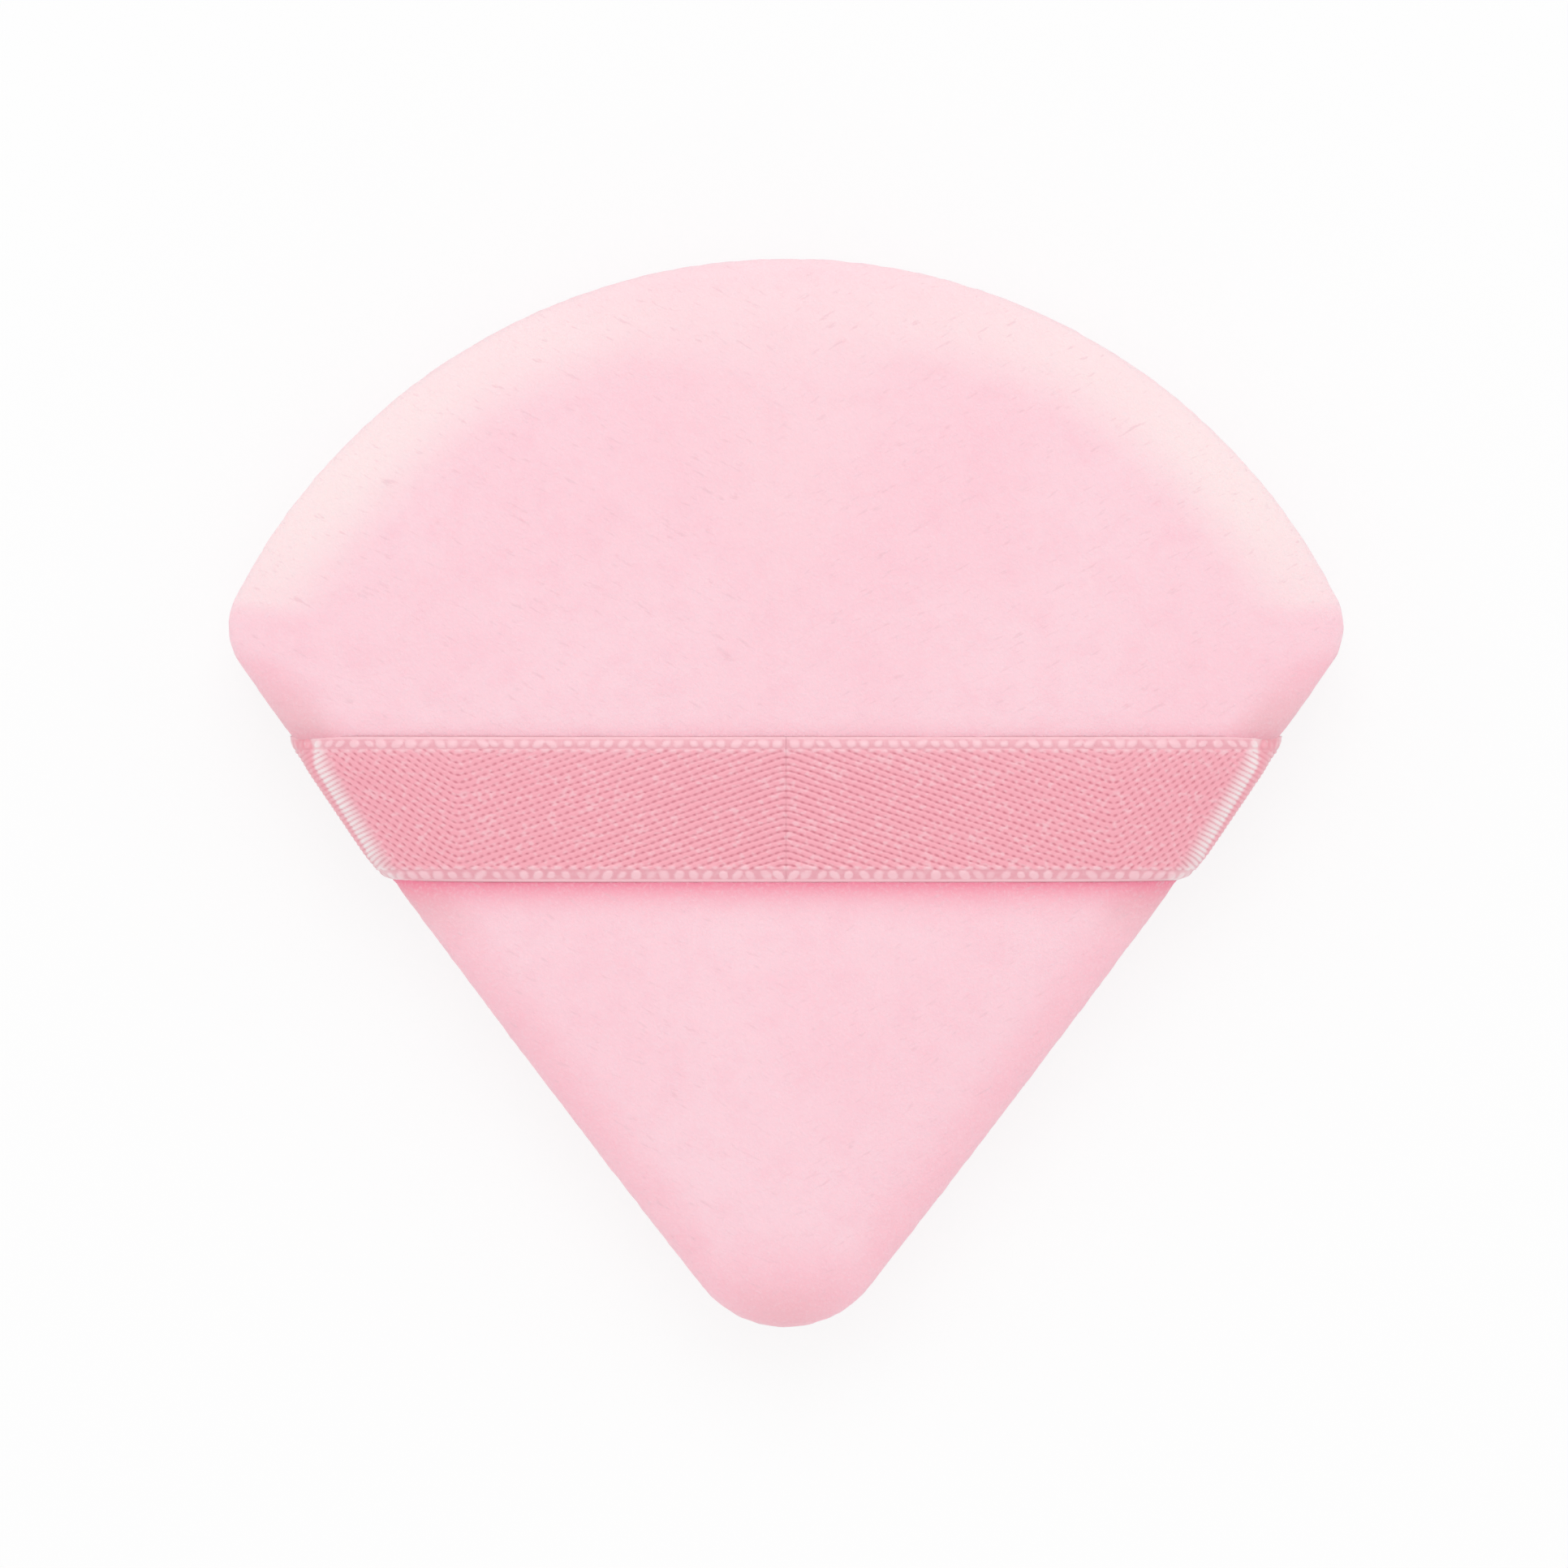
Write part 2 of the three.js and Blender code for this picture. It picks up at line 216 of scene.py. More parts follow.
# The ribbon's weave
RIB_PITCH = 0.46  # between ribs, straight across the ribbon
RIB_SLOPE = math.tan(math.radians(19.5))  # up to the first turn of the herringbone
TURN_AT = 22.5
STEEP_SLOPE = math.tan(math.radians(32))  # beyond it
PEAK_ROUND = 0.35  # of the chevrons at the middle of the ribbon
TURN_ROUND = 0.3  # of those at the first turn
BEND_WIDTH = 1.75  # of the ribs that turn again where the ribbon bends down
BEND_TAPER = 0.065  # change of it for each millimetre up the ribbon
BEND_SOFTNESS = 0.4
BEND_PITCH = 0.285
BEND_LEAN = 0.365  # drop of a rib for each millimetre outwards
BEND_FAN = 0.21  # more of it towards the lower corner
FAN_START = 1.5  # below the middle line
HIGHLIGHT_SHIFT = 0.2  # of the painted highlight at the bend, inwards
HIGHLIGHT_CLIMB = (0.4, 0.6)  # shares of the ribbon's climb, where it sets in
WALL_WIDTH = 0.63  # of the steep part, where the ribbon is painted in shade
WALL_TAPER = 0.05
WALL_CORNER = 0.6  # more of it at the upper corner
UPPER_CORNER = (2.8, 4.5)  # distances up from the middle line
LOWER_CORNER = (-3.8, -2.6)  # below which there is no steep part
WALL_SOFTNESS = 0.15
WALL_CLIMB = (0.15, 0.4)
UNEVEN = 0.05  # of a pitch, by which the ribs wander
WANDER_WAVES = ((2.3, 1.1), (4.9, -0.6))  # radians in a millimetre, across and along
WEFT_PITCH = 0.5
WEFT_STEP = 0.37  # of a pitch, from one groove to the next
BROKEN = 0.2  # by the weft, at the middle
MORE_BROKEN = 0.14  # more of it beyond the first turn
SELVEDGE = 0.84
SELVEDGE_SOFTNESS = 0.1
SELVEDGE_HEIGHT = 0.02
BEAD_PITCH = 0.97
BEAD_HEIGHT = 0.09
BEAD_MIDDLE = 0.5  # from the ribbon's edge
BEAD_HALF_LENGTH = 0.37
BEAD_HALF_WIDTH = 0.32
BEAD_FULLNESS = 2.6  # 2 is an ellipse, and more is squarer
BEAD_SHIFTS = (-0.13, 0.13)  # of a pitch
BEAD_SIZES = (0.76, 1.15)
BEAD_LIFTS = (0.5, 1.0)
BEAD_SLANTS = (-0.55, 0.55)
BEAD_GROUND = 0.4  # light between the beads, where their tops have 1
BEAD_SEEDS = (3, 8)  # of the upper row and the lower one
EDGE_THREAD = 0.3  # the plain thread outside the beads
EDGE_SOFTNESS = 0.15
EDGE_LIGHT = 0.75
TIE_MIDDLE = 1.0  # of the row of small floats inside the beads
TIE_HALF_WIDTH = 0.12
TIE_HEIGHT = 0.05

# Colours of the velour
VELOUR_PATCHES = ((0.972, 0.65, 0.715), (0.976, 0.595, 0.67))
VELOUR_MOTTLE = (0.956, 0.565, 0.645)
# painted highlight on the upper rim of the pile
VELOUR_PAINTED_HIGHLIGHT = (0.965, 0.775, 0.78)
# painted shade on the lower sides and at the tip
VELOUR_LOWER_SHADE = (0.97, 0.43, 0.52)
# painted shade beside the ribbon's ends and at the tip
VELOUR_SHADE = (0.7, 0.42, 0.43)
# painted shadow beside the ribbon
VELOUR_CONTACT_SHADOW = (0.9, 0.25, 0.36)
VELOUR_STROKE = (0.8, 0.5, 0.56)
VELOUR_GRAIN = (0.97, 0.72, 0.77)
VELOUR_SHEEN = (1, 0.86, 0.9, 1)

# Colours of the ribbon, in pairs for its grooves, in painted shade, and for the tops of its threads, in
# painted light
WEAVE_COLOURS = ((0.61, 0.12, 0.184), (0.995, 0.418, 0.5))
EDGE_COLOURS = ((0.76, 0.21, 0.29), (1.0, 0.61, 0.67))
# painted highlight where the ribbon bends down over the edge
BEND_HIGHLIGHT_COLOURS = ((0.92, 0.4, 0.47), (1.0, 0.93, 0.93))
# painted shade on the steep part, where the ribbon goes down to the seam
WALL_SHADE_COLOURS = ((0.88, 0.24, 0.32), (1.0, 0.4, 0.48))
RIBBON_TONE = (0.96, 0.46, 0.54)
# painted glints on the threads
RIBBON_GLINT = (1.0, 0.66, 0.71)
# painted light: the ribbon lighter towards its upper edge
RIBBON_UPPER_LIGHT = (1.0, 0.6, 0.66)
LET_THROUGH = 0.12  # share of the light

# Colours of the sewing thread, and of the foam's walls and of its hollows in painted shade
THREAD_COLOURS = ((0.92, 0.5, 0.58), (0.97, 0.62, 0.69))
FOAM_COLOURS = ((0.93, 0.87, 0.82), (0.78, 0.7, 0.65))

# The stage, where a lamp has a place and a size in metres and a power in watts
FRAME_WIDTH = 108.77  # what the photograph spans at the height of the pad's edge
FRAME_MIDDLE = (-0.14, 0.59)
LENS = 150.0
SENSOR = 36.0
WORLD_LIGHT = 0.782
BACKDROP_LIGHT = 0.95
FLOOR_GLOW = 0.8
KEY_LAMP = ((0.0, 0.46, 0.62), 0.5, 1.4)
FRONT_LAMP = ((0.0, -0.62, 0.3), 0.4, 0.24)
SIDE_LAMP = ((0.62, 0.3, 0.32), 0.4, 0.36)
FRONT_SIDE_LAMP = ((0.6, -0.5, 0.2), 0.4, 0.41)
SIDES = (("left", -1), ("right", 1))
SQUARE = ((-1, -1), (1, -1), (1, 1), (-1, 1))

# Places that follow from these sizes
HALF_WIDTH = PAD_WIDTH / 2
HALF_LENGTH = PAD_LENGTH / 2
HALF_RIBBON = RIBBON_WIDTH / 2
HALF_THICKNESS = RIBBON_THICKNESS / 2
RIBBON_TOP = RIBBON_MIDDLE + HALF_RIBBON
RIBBON_BOTTOM = RIBBON_MIDDLE - HALF_RIBBON


def centre_touching_both(first, first_radius, second, second_radius, radius):
    """Centre of a circle that two smaller ones touch from inside, left of the way between them."""
    way = second - first
    apart = np.hypot(*way)
    from_first = radius - first_radius
    from_second = radius - second_radius
    along = (from_first**2 - from_second**2 + apart**2) / (2 * apart)
    across = math.sqrt(from_first**2 - along**2)
    way = way / apart
    return first + along * way + across * np.array([-way[1], way[0]])


def bearing(start, end):
    return math.atan2(*(end - start)[::-1])


CORNER_CENTRE = np.array([HALF_WIDTH - CORNER_RADIUS, HALF_LENGTH - CORNER_DROP])
ARC_DROP = CORNER_DROP - CORNER_RADIUS
ARC_RADIUS = (CORNER_CENTRE[0] ** 2 + CORNER_DROP**2 - CORNER_RADIUS**2) / (2 * ARC_DROP)
ARC_CENTRE = np.array([0.0, HALF_LENGTH - ARC_RADIUS])
TIP_CENTRE = np.array([0.0, TIP_RADIUS - HALF_LENGTH])
SIDE_CENTRE = centre_touching_both(TIP_CENTRE, TIP_RADIUS, CORNER_CENTRE, CORNER_RADIUS, SIDE_RADIUS)
CORNER_TO_ARC = bearing(ARC_CENTRE, CORNER_CENTRE)
CORNER_TO_SIDE = bearing(SIDE_CENTRE, CORNER_CENTRE)
TIP_TO_SIDE = bearing(SIDE_CENTRE, TIP_CENTRE)
SIDE_FACING = (CORNER_TO_SIDE + TIP_TO_SIDE) / 2
SIDE_OUT = np.array([math.cos(SIDE_FACING), math.sin(SIDE_FACING)])
SIDE_DISTANCE = SIDE_OUT @ SIDE_CENTRE + SIDE_RADIUS
CROWN_CENTRE = np.array([0.0, (HALF_LENGTH - SIDE_DISTANCE) / (1 - SIDE_OUT[1])])
SIDE_REACH = HALF_LENGTH - CROWN_CENTRE[1] - CROWN_RADIUS
CLOSING_TOP = RIBBON_BOTTOM - CLOSING_START
CLOSING_BOTTOM = CLOSING_TOP - CLOSING_LENGTH * SIDE_OUT[0]


def smooth(value, start, end):
    """Rises smoothly from 0 at start to 1 at end."""
    share = np.clip((value - start) / (end - start), 0, 1)
    return share * share * (3 - 2 * share)


def arc_spots(centre, radius, start, end, step):
    """Points on an arc, without its last one, and the ways they face."""
    finest_turn = 0.1
    turn = end - start
    cuts = max(round(abs(turn) * radius / step), round(abs(turn) / finest_turn))
    angles = start + turn * np.arange(cuts) / cuts
    out = np.stack([np.cos(angles), np.sin(angles)], axis=1)
    return centre + radius * out, out


def ribbon_proud(across):
    """How far the ribbon stands out past the pad's edge, at a distance up its width."""
    from_top = HALF_RIBBON - across
    straight = RIBBON_WIDTH - LOW_CORNER
    into_corner = np.clip((from_top - straight) / LOW_CORNER, 0, 1)
    lean = TOP_PROUD + (MOST_PROUD - TOP_PROUD) * np.minimum(from_top / straight, 1)
    return lean * np.sqrt(1 - LOW_CORNER_ROUND * into_corner**2)


def beyond_ribbon(y):
    """Distance across the ribbon, kept on it, and how far a place lies beyond its edges."""
    across = y - RIBBON_MIDDLE
    kept = np.clip(across, -HALF_RIBBON, HALF_RIBBON)
    return kept, np.abs(across - kept)


def outline(step):
    """Spots round the pad, anticlockwise from the left of the tip, and the ways they face."""
    mirror = np.array([-1, 1])
    arcs = [
        (TIP_CENTRE, TIP_RADIUS, -math.pi - TIP_TO_SIDE, TIP_TO_SIDE),
        (SIDE_CENTRE, SIDE_RADIUS, TIP_TO_SIDE, CORNER_TO_SIDE),
        (CORNER_CENTRE, CORNER_RADIUS, CORNER_TO_SIDE, CORNER_TO_ARC),
        (ARC_CENTRE, ARC_RADIUS, CORNER_TO_ARC, math.pi - CORNER_TO_ARC),
        (CORNER_CENTRE * mirror, CORNER_RADIUS, math.pi - CORNER_TO_ARC, math.pi - CORNER_TO_SIDE),
        (SIDE_CENTRE * mirror, SIDE_RADIUS, math.pi - CORNER_TO_SIDE, math.pi - TIP_TO_SIDE),
    ]
    pieces = [arc_spots(*arc, step) for arc in arcs]
    return [np.concatenate(parts) for parts in zip(*pieces)]


def seam_gap(at):
    """Half the slit between the panels at spots of the outline."""
    _, beyond = beyond_ribbon(at[:, 1])
    return GAPING_SEAM + (SEAM_GAP - GAPING_SEAM) * smooth(beyond, 0, GAPE_SOFTNESS)


def flank_shares(count):
    """Shares from 0 to 1, closest together where the flank is steep."""
    angles = np.linspace(0, math.pi / 2, count)
    return 1 - np.cos(angles) ** (2 / FULLNESS)


def inward(spots, share):
    """Plan of a contour at a share of the way from the outline to the crown's disc."""
    at, out = spots
    return at * (1 - share) + (CROWN_CENTRE + CROWN_RADIUS * out) * share


def skin_rows(spots, way, flank_count, disc_count, fold_count):
    """Outer face of a panel as rows of points, from the crease at the seam to the middle."""
    at, out = spots
    gap = seam_gap(at)
    peak = CROWN_HEIGHT - SEAM_HEIGHT if way > 0 else SEAM_HEIGHT - KEEL_HEIGHT
    rows = []
    for turn in np.linspace(0, math.pi / 2, fold_count, endpoint=False):
        plan = at - out * FOLD_DEPTH * (1 - math.sin(turn))
        rows.append((plan, gap + FOLD_RISE * (1 - math.cos(turn))))
    for share in flank_shares(flank_count):
        base = gap + FOLD_RISE
        climbed = (1 - (1 - share) ** FULLNESS) ** (1 / FULLNESS)
        rows.append((inward(spots, share), base + (peak - base) * climbed))
    for radius in np.linspace(CROWN_RADIUS, 0, disc_count + 1)[1:]:
        rows.append((CROWN_CENTRE + radius * out, np.full(len(at), peak)))
    points = np.array([np.column_stack([plan, SEAM_HEIGHT + way * level]) for plan, level in rows])
    return press_flat(points) if way < 0 else points


def press_flat(points):
    """Lifts what lies under the table to just above it, with a soft edge."""
    softness = 0.3
    pressed = points.copy()
    depth = points[..., 2]
    pressed[..., 2] = 0.5 * (depth + np.sqrt(depth**2 + softness**2))
    return pressed


# Meshes

def with_settings(thing, **values):
    for word, value in values.items():
        setattr(thing, word, value)
    return thing


def new_object(name, data):
    made = bpy.data.objects.new(name, data)
    scene.collection.objects.link(made)
    return made


def make_object(name, points, faces, flip=False):
    """A smooth-shaded mesh from points in millimetres, with its faces turned where asked."""
    if flip:
        faces = [face[::-1] for face in faces]
    mesh = bpy.data.meshes.new(name)
    mesh.from_pydata((np.asarray(points) * MM).tolist(), [], faces)
    mesh.validate()
    mesh.update()
    mesh.shade_smooth()
    return new_object(name, mesh)


def strip_faces(rows, columns, closed_columns=True, closed_rows=False):
    """Quads between the rows of a grid of points."""
    index = np.arange(rows * columns).reshape(rows, columns)
    if closed_columns:
        index = np.hstack([index, index[:, :1]])
    if closed_rows:
        index = np.vstack([index, index[:1]])
    quads = np.stack([index[:-1, :-1], index[:-1, 1:], index[1:, 1:], index[1:, :-1]], axis=-1)
    return quads.reshape(-1, 4).tolist()


def closed_loft(grid):
    """Points and faces of a loft whose first and last rows have shrunk to points."""
    rows, columns = grid.shape[:2]
    points = np.concatenate([grid[1:-1].reshape(-1, 3), grid[:1, 0], grid[-1:, 0]])
    faces = strip_faces(rows - 2, columns)
    first_pole, last_pole = len(points) - 2, len(points) - 1
    last_row = (rows - 3) * columns
    for j in range(columns):
        turn = (j + 1) % columns
        faces.append([first_pole, turn, j])
        faces.append([last_pole, last_row + j, last_row + turn])
    return points, faces


def band_faces(rows, columns):
    """Quads of a band whose rows are rings, and its two end faces."""
    faces = strip_faces(rows, columns)
    faces.append(list(range(columns))[::-1])
    faces.append(list(range((rows - 1) * columns, rows * columns)))
    return faces


def mark(obj, word, values):
    """Stores a value from 0 to 1 at every point of a mesh, for its material."""
    attribute = obj.data.attributes.new(word, "FLOAT", "POINT")
    attribute.data.foreach_set("value", np.asarray(values, np.float32).ravel())


def unit(vectors):
    return vectors / np.linalg.norm(vectors, axis=-1, keepdims=True)


def grid_normals(grid, way):
    """Unit normals of a grid of closed rows, facing up for way 1 and down for -1."""
    along = np.gradient(grid, axis=0)
    around = np.roll(grid, -1, axis=1) - np.roll(grid, 1, axis=1)
    normals = np.cross(around, along)
    normals[-1] = [0, 0, way]
    normals /= np.linalg.norm(normals, axis=2, keepdims=True) + TINY
    facing = np.sign(normals[len(grid) // 2, 0, 2]) or 1
    normals[:-1] *= way * facing
    return normals


def tube(path, radius, sides, closed=False):
    """Points and faces of a tube along a path in millimetres."""
    if closed:
        tangent = np.roll(path, -1, axis=0) - np.roll(path, 1, axis=0)
    else:
        tangent = np.gradient(path, axis=0)
    tangent = unit(tangent)
    nearly_upright = 0.05
    side = np.cross(tangent, [0.0, 0.0, 1.0])
    steep = np.linalg.norm(side, axis=1) < nearly_upright
    side[steep] = np.cross(tangent[steep], [1.0, 0.0, 0.0])
    side = unit(side)
    up = np.cross(side, tangent)
    angles = np.arange(sides) * 2 * math.pi / sides
    ring = np.cos(angles)[None, :, None] * side[:, None] + np.sin(angles)[None, :, None] * up[:, None]
    points = (path[:, None] + radius * ring).reshape(-1, 3)
    if closed:
        return points, strip_faces(len(path), sides, closed_rows=True)
    return points, band_faces(len(path), sides)


# The ribbon's course

def side_x(y):
    """x of the right edge of the pad at a height y."""
    return SIDE_CENTRE[0] + np.sqrt(SIDE_RADIUS**2 - (y - SIDE_CENTRE[1]) ** 2)


def ribbon_course(across):
    """Points (inset, z) of one line of the ribbon, at half its thickness, from the middle to its end."""
    foot_inset = HALF_THICKNESS + RIB_HEIGHT - ribbon_proud(across)
    foot_height = SEAM_HEIGHT + SEAM_TURN
    level = RIBBON_LEVEL + HALF_THICKNESS
    lean = TOP_LEAN * smooth(across, LEAN_START, HALF_RIBBON)
    angles = np.linspace(math.pi / 2, 0, COURSE_CUTS - 1)
    climbed = np.abs(np.sin(angles)) ** (2 / RIBBON_FULLNESS)
    gone_in = 1 - np.abs(np.cos(angles)) ** (2 / RIBBON_FULLNESS)
    inset = foot_inset + RIBBON_REACH * gone_in + lean * smooth(climbed, 0, LEAN_CLIMB)
    face = np.column_stack([inset, foot_height + (level - foot_height) * climbed])
    middle = [[side_x(RIBBON_MIDDLE + across) * SIDE_OUT[0], level]]
    turn = np.linspace(0, math.pi / 2, TURN_CUTS)[1:]
    turn_in = np.column_stack([1 - np.cos(turn), -np.sin(turn)]) * SEAM_TURN + face[-1]
    tail = [[TAIL_DEPTH, SEAM_HEIGHT]]
    return np.concatenate([middle, face, turn_in, tail])


def ribbon_grid(cuts_across, cuts_along):
    """Middle surface of the right half as (across, along) rows, with the length along it and the inset."""
    across = np.linspace(-HALF_RIBBON, HALF_RIBBON, cuts_across)
    found = np.zeros((5, cuts_across, cuts_along))
    for i, y in enumerate(RIBBON_MIDDLE + across):
        inset, z = ribbon_course(across[i]).T
        x = side_x(y) - inset / SIDE_OUT[0]
        walked = np.concatenate([[0], np.cumsum(np.hypot(np.diff(x), np.diff(z)))])
        stops = np.linspace(0, walked[-1], cuts_along)
        x, z, inset = (np.interp(stops, walked, values) for values in (x, z, inset))
        found[:, i] = x, np.full(cuts_along, y), z, stops, inset
    points = np.stack(found[:3], axis=-1)
    points[:, 0, 0] = 0
    return across, points, found[3], found[4]


# The filling pushes the cover out, against the table and the ribbon

def scaled_object(name, points, faces):
    return make_object(name, np.asarray(points) * SIM_SCALE, faces)


def pad_cage():
    """The pad as one closed bag, remeshed evenly, at the scale of the simulation."""
    spots = outline(CAGE_STEP)
    upper = skin_rows(spots, 1, CAGE_ROWS, CAGE_DISC_ROWS, 0)
    lower = skin_rows(spots, -1, CAGE_ROWS, CAGE_DISC_ROWS, 0)
    bag = scaled_object("bag", *closed_loft(np.concatenate([lower[::-1], upper])))
    remesh = bag.modifiers.new("even", "REMESH")
    with_settings(remesh, mode="VOXEL", voxel_size=CAGE_VOXEL * SIM_SCALE * MM)
    evaluated = bag.evaluated_get(bpy.context.evaluated_depsgraph_get())
    even = bpy.data.meshes.new_from_object(evaluated)
    bpy.data.objects.remove(bag)
    return new_object("cage", even)


def table_collider():
    size = PAD_WIDTH
    points = [(x * size, y * size, z) for z in (-TABLE_THICKNESS, -SIM_SKIN) for x, y in SQUARE]
    faces = [[3, 2, 1, 0], [4, 5, 6, 7]] + [[i, (i + 1) % 4, (i + 1) % 4 + 4, i + 4] for i in range(4)]
    return scaled_object("table_collider", points, faces)


def ribbon_collider():
    """A slab whose underside is the ribbon's own, over the face of the pad."""
    _, points, _, insets = ribbon_grid(*COLLIDER_CUTS)
    middle_line = insets[len(insets) // 2]
    face = points[:, : int(np.argmax(middle_line < COLLIDER_INSET))].copy()
    face[..., 2] += SIM_SKIN - HALF_THICKNESS
    left = face[:, :0:-1] * [-1, 1, 1]
    under = np.concatenate([left, face], axis=1)
    over = under + [0, 0, SLAB_THICKNESS]
    rows, columns = under.shape[:2]
    size = rows * columns
    high = [[i + size for i in quad] for quad in strip_faces(rows, columns, closed_columns=False)]
    low = [[i - size for i in quad[::-1]] for quad in high]
    index = np.arange(size).reshape(rows, columns)
    rim = np.concatenate([index[0, :-1], index[:-1, -1], index[-1, :0:-1], index[:0:-1, 0]]).tolist()
    walls = [[a, b, b + size, a + size] for a, b in zip(rim, rim[1:] + rim[:1])]
    points = np.concatenate([under.reshape(-1, 3), over.reshape(-1, 3)])
    return scaled_object("ribbon_collider", points, low + high + walls)


def mesh_points(mesh):
    points = np.zeros(len(mesh.vertices) * 3)
    mesh.vertices.foreach_get("co", points)
    return points.reshape(-1, 3)


def simulated_swell():
    """Points of the cage at rest, and how far each of them moves, in millimetres."""
    cage = pad_cage()
    helpers = [table_collider(), ribbon_collider()]
    for helper in helpers:
        helper.modifiers.new("collision", "COLLISION")
        with_settings(helper.collision, thickness_outer=SIM_DISTANCE, cloth_friction=5)
    rest = mesh_points(cage.data)
    held = cage.vertex_groups.new(name="held")
    near_seam = np.flatnonzero(np.abs(rest[:, 2] / (SIM_SCALE * MM) - SEAM_HEIGHT) < SEAM_HOLD)
    held.add(list(range(len(rest))), FOAM_HOLD, "REPLACE")
    held.add(near_seam.tolist(), 1.0, "REPLACE")
    cloth = cage.modifiers.new("cloth", "CLOTH")
    with_settings(cloth.settings, **CLOTH)
    cloth.settings.effector_weights.gravity = 0
    cloth.collision_settings.distance_min = SIM_DISTANCE
    with_settings(cloth.point_cache, frame_start=1, frame_end=SIM_FRAMES)
    for number in range(1, SIM_FRAMES + 1):
        scene.frame_set(number)
    evaluated = cage.evaluated_get(bpy.context.evaluated_depsgraph_get())
    moved = (mesh_points(evaluated.data) - rest) / (SIM_SCALE * MM)
    size = np.linalg.norm(moved, axis=1, keepdims=True)
    moved *= np.minimum(1, MOST_SWELL / np.maximum(size, TINY))
    scene.frame_set(1)
    for obj in helpers + [cage]:
        bpy.data.objects.remove(obj)
    return rest / (SIM_SCALE * MM), moved


def swell_at(points, swell):
    """The simulated movement at points of the skin, averaged softly from the cage."""
    rest, moved = swell
    found = []
    for some in np.array_split(points.reshape(-1, 3), SWELL_PORTIONS):
        apart = np.square(some[:, None] - rest).sum(axis=2)
        weight = np.exp(-apart / (2 * SWELL_SPREAD**2))
        found.append(weight @ moved / weight.sum(axis=1, keepdims=True))
    return np.concatenate(found).reshape(points.shape)


def ribbon_limit(across, inset, angle):
    """How far from the press's middle the pad may reach under one line of the ribbon."""
    course = ribbon_course(across)[:COURSE_CUTS]
    tangent = unit(np.gradient(course, axis=0))
    under = course + (HALF_THICKNESS + CLEARANCE) * np.column_stack([-tangent[:, 1], tangent[:, 0]])
    under = under[::-1] - [PRESS_DEPTH, SEAM_HEIGHT]
    over_edge = under[under[:, 0] < 0]
    edge_angles = np.arctan2(over_edge[:, 1], -over_edge[:, 0])
    at_edge = np.interp(angle, edge_angles, np.hypot(*over_edge.T))
    over_face = np.interp(inset - PRESS_DEPTH, *under.T)
    return np.where(inset < PRESS_DEPTH, at_edge, over_face)


def pressed_by_ribbon(points):
    """Fits the pad to the ribbon's underside, with soft slopes beside the ribbon.

    Near the edge of the pad it is drawn towards a middle at the seam's height, and further in it goes down.
    Where the face lies a little lower than the ribbon, it rises to meet it."""
    across, beyond = beyond_ribbon(points[..., 1])
    edge = side_x(points[..., 1])
    inset = (edge - np.abs(points[..., 0])) * SIDE_OUT[0]
    height = points[..., 2] - SEAM_HEIGHT
    ahead = np.maximum(PRESS_DEPTH - inset, 0)
    reach = np.hypot(ahead, height)
    angle = np.arctan2(height, ahead)
    limit = np.full(inset.shape, np.inf)
    line = np.round((across / RIBBON_WIDTH + 0.5) * PRESS_LINES).astype(int)
    near = beyond < DENT_SOFTNESS
    for i in range(PRESS_LINES + 1):
        chosen = near & (line == i)
        limit[chosen] = ribbon_limit((i / PRESS_LINES - 0.5) * RIBBON_WIDTH, inset[chosen], angle[chosen])
    softness = PINCH_SOFTNESS + (DENT_SOFTNESS - PINCH_SOFTNESS) * smooth(angle, *FACE_ANGLES)
    under_edge = np.maximum(np.abs(points[..., 1] - RIBBON_MIDDLE) - HALF_RIBBON + EDGE_TUCK, 0)
    pressing = np.clip(1 - under_edge / softness, 0, 1) ** SLOPE_POWER
    rise = MOST_RISE * smooth(angle, *RISE_ANGLES)
    kept = reach - np.maximum(reach - limit, -rise) * pressing
    drawn_in = np.where(inset < PRESS_DEPTH, PRESS_DEPTH - kept * np.cos(angle), inset)
    pressed = points.copy()
    pressed[..., 0] = np.sign(points[..., 0]) * (edge - drawn_in / SIDE_OUT[0])
    pressed[..., 2] = SEAM_HEIGHT + kept * np.sin(angle)
    return pressed


# Velour panels and foam

def nap(points):
    """Unevenness of the pile at points of the skin, about -1 to 1."""
    flat = points.reshape(-1, 3) * NAP_GRAIN
    values = [noise.fractal(Vector(p), *NAP_LAYERS) for p in flat]
    return np.array(values).reshape(points.shape[:-1])


